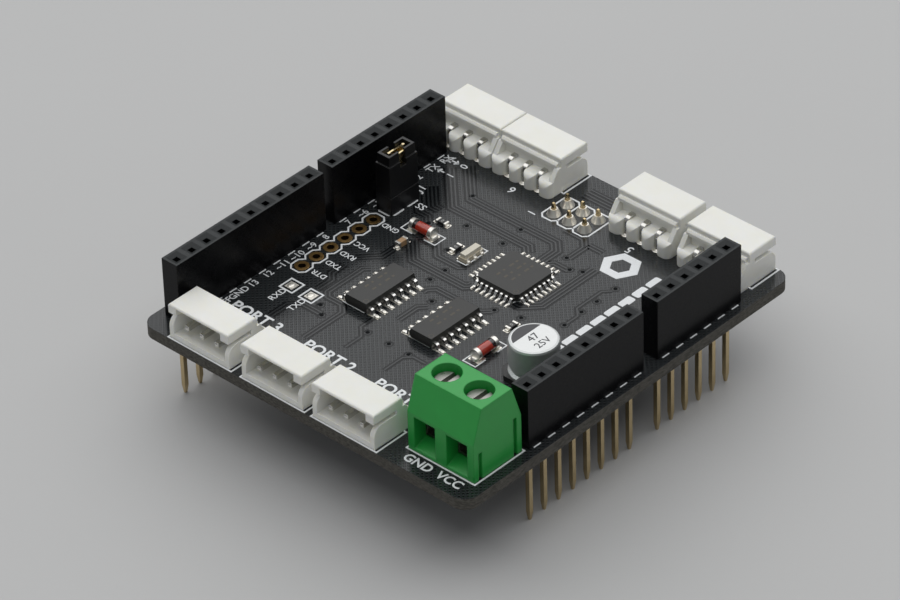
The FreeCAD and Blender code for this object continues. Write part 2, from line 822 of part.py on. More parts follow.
def resonator():
    """Ceramic base with three wrap-round terminals and a metal lid."""
    place = (resonator_left, resonator_front)
    half_length = resonator_length / 2
    half_width = resonator_width / 2
    base = block(-half_length, half_length, -half_width, half_width, 0, resonator_base_height)
    bands = []
    for index in range(resonator_terminals):
        centre = (index - (resonator_terminals - 1) / 2) * resonator_terminal_pitch
        low = centre - resonator_terminal_width / 2
        high = centre + resonator_terminal_width / 2
        shell = block(low, high, -half_width, half_width, 0, resonator_base_height)
        core = block(low, high, -half_width + resonator_terminal_depth,
                     half_width - resonator_terminal_depth, resonator_terminal_depth,
                     resonator_base_height)
        bands.append(shell.cut(core))
    base = base.cut(Part.makeCompound(bands))
    inset = resonator_lid_inset
    lid = block(-half_length + inset, half_length - inset, -half_width + inset, half_width - inset,
                resonator_base_height, resonator_base_height + resonator_lid_height)
    save("resonator_base", [on_board(base, *place)])
    save("resonator_terminals", [on_board(band, *place) for band in bands])
    save("resonator_lid", [on_board(lid, *place)])


def chip(height):
    """Body and two end terminations of a chip part, along X."""
    half = chip_length / 2
    half_width = chip_width / 2
    core = half - chip_end
    body = block(-core, core, -half_width + chip_step, half_width - chip_step, chip_step,
                 height - chip_step)
    ends = [block(-half, -core, -half_width, half_width, 0, height),
            block(core, half, -half_width, half_width, 0, height)]
    return body, ends


def chips():
    """Three chip resistors and one chip capacitor."""
    body, ends = chip(chip_resistor_height)
    bodies = []
    terminations = []
    for left, front, turn in ((resistor_a_left, resistor_a_front, 0),
                              (resistor_b_left, resistor_b_front, 0),
                              (resistor_c_left, resistor_c_front, 90)):
        bodies.append(on_board(body, left, front, turn))
        terminations.extend(on_board(end, left, front, turn) for end in ends)
    save("chip_resistor_bodies", bodies)
    body, ends = chip(chip_capacitor_height)
    save("chip_capacitor_body", [on_board(body, capacitor_left, capacitor_front)])
    terminations.extend(on_board(end, capacitor_left, capacitor_front) for end in ends)
    save("chip_end_caps", terminations)


# Holes, solder and board

def row_places(first_left, count, front):
    """Hole positions of one row on the pin grid."""
    return [(first_left + index * pitch, front) for index in range(count)]


def header_places():
    """Holes of the four stacking headers."""
    return (row_places(digital_long_first, digital_long_pins, digital_row)
            + row_places(digital_short_first, digital_short_pins, digital_row)
            + row_places(power_first, power_pins, power_row)
            + row_places(analog_first, analog_pins, power_row))


def programming_places():
    """Holes of the programming socket."""
    return [(prog_left + (column - (prog_columns - 1) / 2) * pitch,
             prog_front + (index - (prog_rows - 1) / 2) * pitch)
            for column in range(prog_columns) for index in range(prog_rows)]


def jumper_places():
    """Holes of the jumper."""
    return [(jumper_left + (index - (jumper_pins - 1) / 2) * pitch, jumper_row)
            for index in range(jumper_pins)]


def port_pin_places():
    """Holes of the servo ports."""
    places = []
    for left, front, turn in port_places():
        inward = port_pin_bend if turn == 0 else -port_pin_bend
        for index in range(port_pin_count):
            places.append((left + inward, front + (index - (port_pin_count - 1) / 2) * port_pin_pitch))
    return places


def terminal_places():
    """Holes of the screw terminal."""
    leg_centre = leg_front + tongue_thickness / 2
    return [(terminal_left + leg_centre, terminal_front + pole) for pole in pole_offsets()]


def drill_radius(pin_x, pin_y):
    """Hole that clears the corners of a rectangular pin."""
    return math.hypot(pin_x, pin_y) / 2 + hole_clearance


def drilled_groups():
    """Pin section, hole places and solder side (true for above) of every soldered pin."""
    return ((header_pin, header_pin, header_places(), False),
            (header_pin, header_pin, programming_places(), True),
            (jumper_pin, jumper_pin, jumper_places(), False),
            (port_pin, port_pin, port_pin_places(), False),
            (tongue_thickness, leg_width, terminal_places(), False))


def solder_joint(pin_x, pin_y, above):
    """Solder that fills the hole round a pin and rises in a cone on one face."""
    bore = drill_radius(pin_x, pin_y)
    fill = rod(bore, 0, 0, -board_thickness, 0)
    spread = bore + fillet_flare
    neck = bore + fillet_tip_flare
    if above:
        cone = Part.makeCone(spread, neck, fillet_height, V(0, 0, 0))
    else:
        cone = Part.makeCone(neck, spread, fillet_height, V(0, 0, -board_thickness - fillet_height))
    reach = board_thickness + fillet_height
    pin = block(-pin_x / 2, pin_x / 2, -pin_y / 2, pin_y / 2, -reach, fillet_height)
    return fuse([fill, cone]).cut(pin)


def solder():
    """Every through-hole joint, as separate solids."""
    joints = []
    for pin_x, pin_y, places, above in drilled_groups():
        joint = solder_joint(pin_x, pin_y, above)
        joints += [on_board(joint, left, front) for left, front in places]
    save("solder_joints", joints)


def serial_port():
    """Plated eyelets of the empty serial port row."""
    barrel = rod(eyelet_outer_radius, 0, 0, -board_thickness, 0)
    top = rod(eyelet_flange_radius, 0, 0, 0, eyelet_flange)
    under = rod(eyelet_flange_radius, 0, 0, -board_thickness - eyelet_flange, -board_thickness)
    bore = rod(eyelet_bore_radius, 0, 0, -board_thickness - eyelet_flange, eyelet_flange)
    eyelet = fuse([barrel, top, under]).cut(bore)
    places = row_places(serial_first, serial_count, serial_row)
    save("serial_port_eyelets", [on_board(eyelet, left, front) for left, front in places])


def serial_pads():
    """Two tinned solder pads for the serial signals."""
    half = pad_size / 2
    pad = block(-half, half, -half, half, 0, pad_thickness)
    save("serial_solder_pads", [on_board(pad, pad_left, front) for front in (pad_rxd_front, pad_txd_front)])


def circuit_board():
    """Rounded plate with every plated hole drilled."""
    plate = block(0, board_length, 0, board_width, -board_thickness, 0)
    uprights = [edge for edge in plate.Edges
                if edge.BoundBox.ZLength > board_thickness / 2 and edge.BoundBox.XLength < board_thickness]
    plate = plate.makeFillet(board_corner_radius, uprights)
    holes = [rod(eyelet_outer_radius, left, front, -board_thickness, 0)
             for left, front in row_places(serial_first, serial_count, serial_row)]
    for pin_x, pin_y, places, above in drilled_groups():
        radius = drill_radius(pin_x, pin_y)
        holes += [rod(radius, left, front, -board_thickness, 0) for left, front in places]
    plate = plate.cut(Part.makeCompound(holes))
    save("circuit_board", [on_board(plate, 0, 0)])


os.makedirs("parts", exist_ok=True)
circuit_board()
header(digital_long_pins, digital_long_first, digital_row, "digital_header_long")
header(digital_short_pins, digital_short_first, digital_row, "digital_header_short")
header(power_pins, power_first, power_row, "power_header")
header(analog_pins, analog_first, power_row, "analog_header")
programming_socket()
servo_ports()
screw_terminal()
jumper()
microcontroller()
buffer_chip(1, buffer_left, buffer_a_front)
buffer_chip(2, buffer_left, buffer_b_front)
electrolytic()
glass_diode(1, diode_a_left, diode_a_front, 90)
glass_diode(2, diode_b_left, diode_b_front, 0)
resonator()
chips()
solder()
serial_port()
serial_pads()
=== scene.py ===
import math

import bmesh
import bpy
from bpy.props import FloatProperty, FloatVectorProperty, PointerProperty
from mathutils import Matrix, Vector


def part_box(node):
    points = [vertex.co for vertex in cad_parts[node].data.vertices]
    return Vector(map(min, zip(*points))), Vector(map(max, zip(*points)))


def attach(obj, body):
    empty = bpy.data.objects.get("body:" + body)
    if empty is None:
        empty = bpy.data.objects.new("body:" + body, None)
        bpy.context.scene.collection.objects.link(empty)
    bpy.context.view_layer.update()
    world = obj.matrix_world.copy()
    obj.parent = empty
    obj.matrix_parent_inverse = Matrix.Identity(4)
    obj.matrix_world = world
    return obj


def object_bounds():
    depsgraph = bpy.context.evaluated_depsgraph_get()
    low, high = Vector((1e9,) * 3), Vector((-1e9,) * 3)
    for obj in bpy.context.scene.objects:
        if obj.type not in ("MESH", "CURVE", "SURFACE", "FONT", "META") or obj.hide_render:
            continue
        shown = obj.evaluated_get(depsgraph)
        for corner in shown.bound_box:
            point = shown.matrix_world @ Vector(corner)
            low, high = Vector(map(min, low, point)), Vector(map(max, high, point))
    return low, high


bl_info = {
    "name": "Servo driver board",
    "version": (1, 0, 0),
    "blender": (4, 5, 0),
    "location": "View3D > Sidebar > Board",
    "description": "Finishes, printed legend, tracks and solder for a stacking servo driver board",
    "category": "Object",
}

MM = 0.001
PITCH = 2.54
PORT_PITCH = 2.5
PORTS = range(1, 8)
NEAR_PORTS = range(1, 4)
INK = 0.042
LAND = ((0.0, 0.0), (0.02, 0.03))
BODY = "board_assembly"

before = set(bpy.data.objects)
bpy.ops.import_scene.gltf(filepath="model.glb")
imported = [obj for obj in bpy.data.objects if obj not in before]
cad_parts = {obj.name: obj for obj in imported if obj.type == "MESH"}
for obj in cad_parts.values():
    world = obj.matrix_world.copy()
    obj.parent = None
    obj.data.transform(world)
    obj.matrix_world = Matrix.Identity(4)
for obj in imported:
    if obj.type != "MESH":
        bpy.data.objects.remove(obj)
cad_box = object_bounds()

board_low, board_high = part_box("circuit_board")
long_low, long_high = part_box("digital_header_long_housing")
power_low, power_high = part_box("power_header_housing")
# Grid datum: the first pin of the long digital header along X, the power row along Y, the board's face.
datum = Vector((long_low.x + PITCH * MM / 2, (power_low.y + power_high.y) / 2, board_high.z))
digital_row = ((long_low.y + long_high.y) / 2 - datum.y) / MM


def spot(x, y, rise=0.0):
    """Place in metres of a point given in millimetres from the grid datum."""
    return datum + Vector((x, y, rise)) * MM


def off_datum(point):
    """Millimetres from the grid datum of a place in metres."""
    return (point - datum) / MM


def corners(name):
    """Low and high corner of a CAD node, in millimetres from the grid datum."""
    low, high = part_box(name)
    return off_datum(low), off_datum(high)


# Finishes

class Channel:
    """One socket's value while a finish is worked out; sums on it add Math nodes."""

    def __init__(self, finish, socket):
        self.finish = finish
        self.socket = socket

    def math(self, operation, *values):
        return self.finish.node("ShaderNodeMath", {"operation": operation}, dict(enumerate(values)))

    def __add__(self, other):
        return self.math("ADD", self, other)

    def __radd__(self, other):
        return self.math("ADD", other, self)

    def __sub__(self, other):
        return self.math("SUBTRACT", self, other)

    def __rsub__(self, other):
        return self.math("SUBTRACT", other, self)

    def __mul__(self, other):
        return self.math("MULTIPLY", self, other)

    def __rmul__(self, other):
        return self.math("MULTIPLY", other, self)

    def __pow__(self, other):
        return self.math("POWER", self, other)

    def __gt__(self, other):
        return self.math("GREATER_THAN", self, other)

    def __lt__(self, other):
        return self.math("LESS_THAN", self, other)

    def highest(self, other):
        return self.math("MAXIMUM", self, other)

    def ridge(self, period):
        """Triangle wave from 0 to 1 along this value."""
        return self.math("PINGPONG", self, period / 2) * (2 / period)

    def eased(self, low, high):
        """Smooth step from 0 at low to 1 at high."""
        return self.finish.node("ShaderNodeMapRange", {"interpolation_type": "SMOOTHSTEP"},
                                {"Value": self, "From Min": low, "From Max": high})


class Finish:
    """A material that is built up node by node."""

    def __init__(self, name):
        self.material = bpy.data.materials.new(name)
        self.material.use_nodes = True
        self.tree = self.material.node_tree
        self.tree.nodes.clear()

    def node(self, kind, settings=None, inputs=None, output=0):
        """Add a node, set it up, feed its sockets and return one of its outputs."""
        made = self.tree.nodes.new(kind)
        for key, value in (settings or {}).items():
            setattr(made, key, value)
        for key, value in (inputs or {}).items():
            if isinstance(value, Channel):
                self.tree.links.new(value.socket, made.inputs[key])
            else:
                made.inputs[key].default_value = value
        return Channel(self, made.outputs[output]) if made.outputs else None

    def place(self):
        """Position on the object, in metres."""
        return self.node("ShaderNodeTexCoord", output="Object")

    def axes(self, vector):
        """The three parts of a vector."""
        split = self.node("ShaderNodeSeparateXYZ", None, {"Vector": vector})
        outputs = split.socket.node.outputs
        return [Channel(self, outputs[axis]) for axis in "XYZ"]

    def facing(self):
        """How far the surface faces up, from -1 to 1."""
        return self.axes(self.node("ShaderNodeNewGeometry", output="Normal"))[2]

    def grain(self, size, detail=2.0, stretch=(1, 1, 1)):
        """Noise from 0 to 1 with features of a size in millimetres."""
        spread = self.node("ShaderNodeVectorMath", {"operation": "MULTIPLY"},
                           {0: self.place(), 1: stretch})
        return self.node("ShaderNodeTexNoise", None,
                         {"Vector": spread, "Scale": 1 / (size * MM), "Detail": detail})

    def blend(self, mask, first, second):
        """Colour that goes from first to second with the mask."""
        return self.node("ShaderNodeMix", {"data_type": "RGBA"},
                         {"Factor": mask, "A": first, "B": second}, output=2)

    def relief(self, height, depth, rounding=0.0):
        """Surface normal for a height in 0 to 1 that stands a depth in millimetres proud."""
        inputs = {"Height": height, "Distance": depth * MM}
        if rounding:
            inputs["Normal"] = self.softened(rounding)
        return self.node("ShaderNodeBump", None, inputs)

    def softened(self, radius):
        """Normal with the edges rounded by a radius in millimetres."""
        return self.node("ShaderNodeBevel", {"samples": 6}, {"Radius": radius * MM})

    def coat(self, **sockets):
        """Principled surface with sockets named in lower case, wired to the output."""
        inputs = {key.replace("_", " ").title().replace("Ior", "IOR"): value
                  for key, value in sockets.items()}
        shader = self.node("ShaderNodeBsdfPrincipled", None, inputs)
        self.node("ShaderNodeOutputMaterial", None, {"Surface": shader})
        return self.material


def rgb(red, green, blue):
    return (red, green, blue, 1.0)


def scaled(colour, share):
    """A colour with its three parts multiplied by a share."""
    return tuple(part * share for part in colour)


def solder_mask(looks):
    """Black glossy mask over a hatched copper pour, with a layered glass edge."""
    finish = Finish("solder_mask")
    x, y, z = finish.axes(finish.place())
    period = looks.hatch_pitch * math.sqrt(2)
    rising = (x + y).ridge(period).eased(0.46, 0.66)
    falling = (x - y).ridge(period).eased(0.46, 0.66)
    hatch = rising.highest(falling)
    skin = MM * 0.03
    edge = (z < board_high.z - skin) * (z > board_low.z + skin)
    layers = finish.grain(0.12, 3.0, (0.25, 0.25, 1.0))
    mottled = finish.grain(0.5, 4.0)
    glass = finish.blend(layers.eased(0.3, 0.7), rgb(0.028, 0.025, 0.019), rgb(0.095, 0.089, 0.074))
    mask_colour = finish.blend(hatch, rgb(*looks.mask), rgb(*looks.masked_copper))
    height = hatch * (1 - edge) + layers * edge * 1.5 + mottled * 0.1
    return finish.coat(
        base_color=finish.blend(edge, mask_colour, glass),
        roughness=0.16 + mottled * 0.08 + edge * 0.5,
        normal=finish.relief(height, 0.03, 0.08),
        specular_ior_level=0.5,
    )


def smooth_mask(name, colour, shine):
    """Solder mask that runs over plain copper or plain laminate."""
    finish = Finish(name)
    wave = finish.grain(0.35, 3.0)
    dull = scaled(colour, 0.8)
    return finish.coat(
        base_color=finish.blend(wave, rgb(*dull), rgb(*colour)),
        roughness=0.14 + wave * 0.1,
        normal=finish.relief(wave, 0.003),
        specular_ior_level=shine,
    )


def moulding(name, dark, light, grain_size, depth, rough, rounding, shine=0.5, deep=0.0, satin=None):
    """Moulded plastic with a fine tooled grain, softened edges and, if asked, upper faces painted lighter
    as a painted highlight.
    """
    finish = Finish(name)
    fine = finish.grain(grain_size, 3.0)
    cloud = finish.grain(2.2, 2.0)
    colour = finish.blend(cloud, rgb(*dark), rgb(*light))
    if satin:
        # Painted highlight: faces that look up are blended towards a lighter colour.
        colour = finish.blend(finish.facing().eased(0.6, 0.95), colour, rgb(*satin))
    return finish.coat(
        base_color=colour,
        roughness=rough + (fine - 0.5) * 0.12 + (cloud - 0.5) * 0.08,
        normal=finish.relief(fine, depth, rounding),
        subsurface_weight=deep,
        subsurface_radius=(2.4 * MM, 2.3 * MM, 1.9 * MM),
        specular_ior_level=shine,
    )


def metal(name, dark, light, rough, size=0.25, depth=0.002, rounding=0.04, stretch=(1, 1, 1)):
    """Plated or drawn metal with a slightly uneven skin."""
    finish = Finish(name)
    marks = finish.grain(size, 4.0, stretch)
    tone = finish.grain(size * 6, 2.0)
    return finish.coat(
        base_color=finish.blend(tone, rgb(*dark), rgb(*light)),
        metallic=1.0,
        roughness=rough + (marks - 0.5) * rough * 0.8,
        normal=finish.relief(marks, depth, rounding),
    )


def can_aluminium():
    """Drawn can: fine rings round the wall and across the top, with the upward faces painted lighter as a
    painted highlight.
    """
    finish = Finish("can_aluminium")
    low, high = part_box("capacitor_can")
    x, y, z = finish.axes(finish.place())
    centre = (low + high) / 2
    across = x - centre.x
    along = y - centre.y
    reach = (across * across + along * along) ** 0.5
    rings = finish.node("ShaderNodeTexNoise", {"noise_dimensions": "2D"},
                        {"Vector": finish.node("ShaderNodeCombineXYZ", None, {"X": reach, "Y": z}),
                         "Scale": 1 / (0.06 * MM), "Detail": 3.0})
    # Painted highlight: faces that look up take the lighter lid colour.
    top = finish.facing().eased(0.8, 0.98)
    wear = finish.grain(0.8, 3.0)
    wall = finish.blend(wear, rgb(0.56, 0.59, 0.58), rgb(0.70, 0.73, 0.72))
    lid = finish.blend(wear, rgb(0.80, 0.81, 0.80), rgb(0.86, 0.87, 0.86))
    return finish.coat(
        base_color=finish.blend(top, wall, lid),
        metallic=0.7 - top * 0.4,
        roughness=0.36 + rings * 0.16 + top * 0.1,
        normal=finish.relief(rings, 0.0035, 0.05),
    )


def tinted_glass():
    """Orange-red glass sleeve over a dark chip and a cathode band."""
    finish = Finish("tinted_glass")
    x, y, z = finish.axes(finish.place())
    flow = finish.grain(0.5, 3.0)
    bands = []
    for number, vertical in ((1, True), (2, False)):
        low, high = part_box("diode_" + str(number) + "_glass")
        along = y if vertical else x
        start = (high.y if vertical else high.x) - 0.5 * MM
        other = x if vertical else y
        nearby = (other > (low.x if vertical else low.y)) * (other < (high.x if vertical else high.y))
        bands.append((along > start) * (along < start + 0.55 * MM) * nearby)
    band = bands[0].highest(bands[1])
    glass = finish.blend(flow, rgb(0.34, 0.018, 0.010), rgb(0.62, 0.060, 0.025))
    return finish.coat(
        base_color=finish.blend(band, glass, rgb(0.02, 0.012, 0.012)),
        roughness=0.08 + flow * 0.06,
        normal=finish.relief(flow, 0.006),
        transmission_weight=0.25,
        coat_weight=0.6,
        coat_roughness=0.05,
        ior=1.52,
    )


def eyelet_gold():
    """Gold-plated flange round a barrel painted dark and dull, a painted shade inside the hole."""
    finish = Finish("eyelet_gold")
    z = finish.axes(finish.place())[2]
    # Painted shade: inside the board the barrel is near black, for the shade down the hole.
    barrel_shade = (z > board_low.z) * (z < board_high.z)
    tone = finish.grain(0.3, 3.0)
    flange = finish.blend(tone, rgb(0.38, 0.22, 0.075), rgb(0.62, 0.40, 0.16))
    return finish.coat(
        base_color=finish.blend(barrel_shade, flange, rgb(0.025, 0.015, 0.006)),
        metallic=1 - barrel_shade * 0.7,
        roughness=0.3 + tone * 0.1,
        normal=finish.relief(tone, 0.003, 0.04),
    )


def printed_ink(name, colour, rough=0.5):
    """Screen-printed ink, slightly broken and uneven."""
    finish = Finish(name)
    speckle = finish.grain(0.06, 3.0)
    dull = scaled(colour, 0.86)
    return finish.coat(
        base_color=finish.blend(speckle.eased(0.3, 0.6), rgb(*dull), rgb(*colour)),
        roughness=rough + (speckle - 0.5) * 0.2,
        normal=finish.relief(speckle, 0.004),
    )


def pale_floor(colour):
    """Plain matt table top with a faint paper grain."""
    finish = Finish("pale_table")
    fibre = finish.grain(0.6, 4.0)
    drift = finish.grain(60.0, 2.0)
    shade = scaled(colour, 0.96)
    return finish.coat(
        base_color=finish.blend(drift, rgb(*shade), rgb(*colour)),
        roughness=0.62 + (fibre - 0.5) * 0.1,
        normal=finish.relief(fibre, 0.01),
    )


def solder_metal(name="solder"):
    """Reflowed tin solder, bright with a faint frosting."""
    return metal(name, (0.80, 0.77, 0.70), (0.92, 0.89, 0.82), 0.42, 0.4, 0.003, 0.0)


def give(nodes, material):
    """Put a finish on CAD nodes."""
    for name in nodes:
        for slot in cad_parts[name].material_slots:
            slot.material = material


def nodes_like(*endings):
    """Names of the CAD nodes that end in any of these words."""
    return [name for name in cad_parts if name.endswith(endings)]


def port(number, part):
    """Name of a servo port's CAD node."""
    return "servo_port_" + str(number) + "_" + part


# Piece making

def mitres(path, closed=False):
    """At each point of a line, the direction across it and how far that falls short at a corner."""
    found = []
    for index, here in enumerate(path):
        steps = []
        if closed or index:
            steps.append((here - path[index - 1]).normalized())
        if closed or index < len(path) - 1:
            steps.append((path[(index + 1) % len(path)] - here).normalized())
        normals = [Vector((-step.y, step.x)) for step in steps]
        mitre = sum(normals, Vector((0, 0))).normalized()
        found.append((mitre, mitre.dot(normals[0])))
    return found


def alongside(points, gap):
    """The same line moved sideways by a gap, mitred at its corners."""
    path = [Vector(point) for point in points]
    return [tuple(here + mitre * (gap / share)) for here, (mitre, share) in zip(path, mitres(path))]


def oval(centre, across, along, steps):
    """Points round an oval from its half width and half length."""
    angles = [math.tau * step / steps for step in range(steps)]
    return [(centre[0] + across * math.cos(angle), centre[1] + along * math.sin(angle)) for angle in angles]


class Sheet:
    """Mesh under construction for one piece, in millimetres from the grid datum."""

    def __init__(self):
        self.mesh = bmesh.new()

    def point(self, x, y, z):
        return self.mesh.verts.new(spot(x, y, z))

    def loop(self, points, z):
        return [self.point(x, y, z) for x, y in points]

    def bridge(self, first, second, closed=True):
        """Quads between two equal rings."""
        count = len(first)
        for index in range(count if closed else count - 1):
            after = (index + 1) % count
            self.mesh.faces.new((first[index], first[after], second[after], second[index]))

    def stacked(self, rings, lid=False):
        """Quads between rings that follow each other, with a lid on the last one if asked."""
        for first, second in zip(rings, rings[1:]):
            self.bridge(first, second)
        if lid:
            self.mesh.faces.new(rings[-1])

    def ribbon(self, points, width, height, rise=0.0, closed=False):
        """Flat strip with sloped sides along a line of points, mitred at its corners."""
        path = [Vector(point) for point in points]
        slope = 1 - min(height / width, 0.3)
        sections = []
        for here, (mitre, share) in zip(path, mitres(path, closed)):
            side = mitre * (width / 2 / max(share, 0.4))
            top = rise + height
            sections.append([self.point(*(here + side), rise), self.point(*(here + side * slope), top),
                             self.point(*(here - side * slope), top), self.point(*(here - side), rise)])
        pairs = list(zip(sections, sections[1:]))
        if closed:
            pairs.append((sections[-1], sections[0]))
        for first, second in pairs:
            self.bridge(first, second, closed=False)
        if not closed:
            self.mesh.faces.new(sections[0])
            self.mesh.faces.new(sections[-1][::-1])

    def boxed(self, left, right, front, rear, width):
        """Printed line round a rectangle."""
        path = [(left, front), (right, front), (right, rear), (left, rear)]
        self.ribbon(path, width, INK, closed=True)

    def rounded(self, centre, size, corner, profile):
        """Rounded rectangle built up in rings of (inset, height), closed on top."""
        rings = []
        for inset, height in profile:
            half = (size[0] / 2 - inset, size[1] / 2 - inset)
            radius = max(min(corner - inset, *half), 0.01)
            outline = []
            for quarter in range(4):
                turn = math.pi / 2 * quarter
                sign = (1 if quarter in (0, 3) else -1, 1 if quarter in (0, 1) else -1)
                hub = (centre[0] + sign[0] * (half[0] - radius), centre[1] + sign[1] * (half[1] - radius))
                for step in range(5):
                    angle = turn + math.pi / 2 * step / 4
                    outline.append((hub[0] + radius * math.cos(angle), hub[1] + radius * math.sin(angle)))
            rings.append(self.loop(outline, height))
        self.stacked(rings, lid=True)

    def land(self, centre, size, corner=0.1):
        """Thin tinned land under a lead or an end cap."""
        self.rounded(centre, size, corner, LAND)

    def turned(self, centre, profile):
        """Ring or disc turned round an upright axis from (radius, height) points."""
        self.stacked([self.loop(oval(centre, radius, radius, 28), height) for radius, height in profile])

    def mound(self, centre, size, height, rise=LAND[-1][1]):
        """Low dome of solder on an oval foot."""
        rings = []
        for share, lift in ((1.0, 0.0), (0.93, 0.45), (0.75, 0.8), (0.45, 0.96), (0.12, 1.0)):
            outline = oval(centre, size[0] / 2 * share, size[1] / 2 * share, 16)
            rings.append(self.loop(outline, rise + height * lift))
        self.stacked(rings, lid=True)

    def lettering(self, text, centre, size, turn=0.0, rise=0.021, weight=0.01):
        """Flat text from the built-in font, centred on a point, with its capitals a size tall."""
        curve = bpy.data.curves.new("label", "FONT")
        curve.body = text
        curve.size = size * MM / 0.72
        curve.align_x = "CENTER"
        curve.align_y = "CENTER"
        curve.offset = weight * MM
        curve.extrude = 0.02 * MM
        curve.resolution_u = 3
        holder = bpy.data.objects.new("label", curve)
        flat = bpy.data.meshes.new_from_object(holder)
        flat.transform(Matrix.Translation(spot(*centre, rise)) @ Matrix.Rotation(turn, 4, "Z"))
        self.mesh.from_mesh(flat)
        bpy.data.objects.remove(holder)
        bpy.data.curves.remove(curve)
        bpy.data.meshes.remove(flat)

    def finished(self, name, material, smooth=False):
        """Turn the mesh into a piece that rides on the board."""
        bmesh.ops.recalc_face_normals(self.mesh, faces=self.mesh.faces)
        data = bpy.data.meshes.new(name)
        self.mesh.to_mesh(data)
        self.mesh.free()
        data.materials.append(material)
        piece = bpy.data.objects.new(name, data)
        bpy.context.scene.collection.objects.link(piece)
        if smooth:
            data.shade_smooth()
            data.set_sharp_from_angle(angle=math.radians(50))
        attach(piece, BODY)


def chained_outline(first, count, half):
    """One closed line round a row of pins along X: octagons of a half width, joined at their waists."""
    corner = 0.6
    waist = half - corner
    forward = [(-half, waist)]
    for index in range(count):
        at = index * PITCH
        if index:
            forward.append((at - PITCH / 2, waist))
        forward += [(at - waist, half), (at + waist, half)]
    forward.append(((count - 1) * PITCH + half, waist))
    backward = [(u, -v) for u, v in reversed(forward)]
    return [(first[0] + u, first[1] + v) for u, v in forward + backward]


# Sizes and colours a maker would change

class BoardLooks(bpy.types.PropertyGroup):
    """Mask, copper and legend of the board"""
    mask: FloatVectorProperty(name="Mask colour", description="Colour of the solder mask",
                              subtype="COLOR", default=(0.0020, 0.0026, 0.0034))
    masked_copper: FloatVectorProperty(name="Masked copper", description="Colour of the mask over copper",
                                       subtype="COLOR", default=(0.0195, 0.0225, 0.0240))
    legend: FloatVectorProperty(name="Legend colour", description="Colour of the printed legend",
                                subtype="COLOR", default=(0.80, 0.82, 0.83))
    hatch_pitch: FloatProperty(name="Hatch pitch", description="Distance between lines of the copper pour",
                               unit="LENGTH", default=0.508 * MM)
    track_width: FloatProperty(name="Track width", description="Width of a signal track",
                               unit="LENGTH", default=0.25 * MM)
    track_height: FloatProperty(name="Track height", description="How far a track stands proud",
                                unit="LENGTH", default=0.03 * MM)
    legend_line: FloatProperty(name="Legend line", description="Width of a printed line",
                               unit="LENGTH", default=0.24 * MM)


class PlasticLooks(bpy.types.PropertyGroup):
    """Colours of the mouldings"""
    ivory: FloatVectorProperty(name="Port colour", description="Colour of the servo ports",
                               subtype="COLOR", default=(0.84, 0.84, 0.81))
    green: FloatVectorProperty(name="Terminal colour", description="Colour of the screw terminal",
                               subtype="COLOR", default=(0.018, 0.345, 0.054))
    black: FloatVectorProperty(name="Header colour", description="Colour of the header mouldings",
                               subtype="COLOR", default=(0.0025, 0.0025, 0.003))
    # Painted highlight: the lighter colour put on the upward faces of the headers.
    satin: FloatVectorProperty(name="Header top colour", description="Colour of the header tops",
                               subtype="COLOR", default=(0.034, 0.037, 0.038))


class StageLooks(bpy.types.PropertyGroup):
    """Table top, lights and camera"""
    floor: FloatVectorProperty(name="Floor colour", description="Colour of the table top",
                               subtype="COLOR", default=(0.50, 0.50, 0.495))
    softbox: FloatProperty(name="Softbox", description="Power of the overhead softbox",
                           unit="POWER", default=15.0)
    front: FloatProperty(name="Front softbox", description="Power of the softbox in front",
                         unit="POWER", default=0.5)
    fill: FloatProperty(name="Fill", description="Strength of the light from all round",
                        subtype="FACTOR", min=0.0, soft_max=1.0, default=0.22)
    stand: FloatVectorProperty(name="Camera place", description="Place of the camera from the grid datum",
                               subtype="TRANSLATION", unit="LENGTH", default=(-0.35497, -0.33764, 0.38837))
    azimuth: FloatProperty(name="Camera azimuth", description="Turn of the camera round the board",
                           subtype="ANGLE", default=math.radians(-46.17))
    elevation: FloatProperty(name="Camera elevation", description="Angle of the camera above the board",
                             subtype="ANGLE", default=math.radians(36.52))
    roll: FloatProperty(name="Camera roll", description="Tilt of the camera about its own axis",
                        subtype="ANGLE", default=math.radians(-1.83))
    lens: FloatProperty(name="Lens", description="Focal length", unit="CAMERA", default=216.07)


# Pieces

class OBJECT_OT_circuit_board(bpy.types.Operator):
    """Finish the circuit board with its mask, hatch and glass edge"""
    bl_idname = "board.circuit_board"
    bl_label = "Circuit board"

    def execute(self, context):
        give(["circuit_board"], solder_mask(context.scene.board_looks))
        return {"FINISHED"}


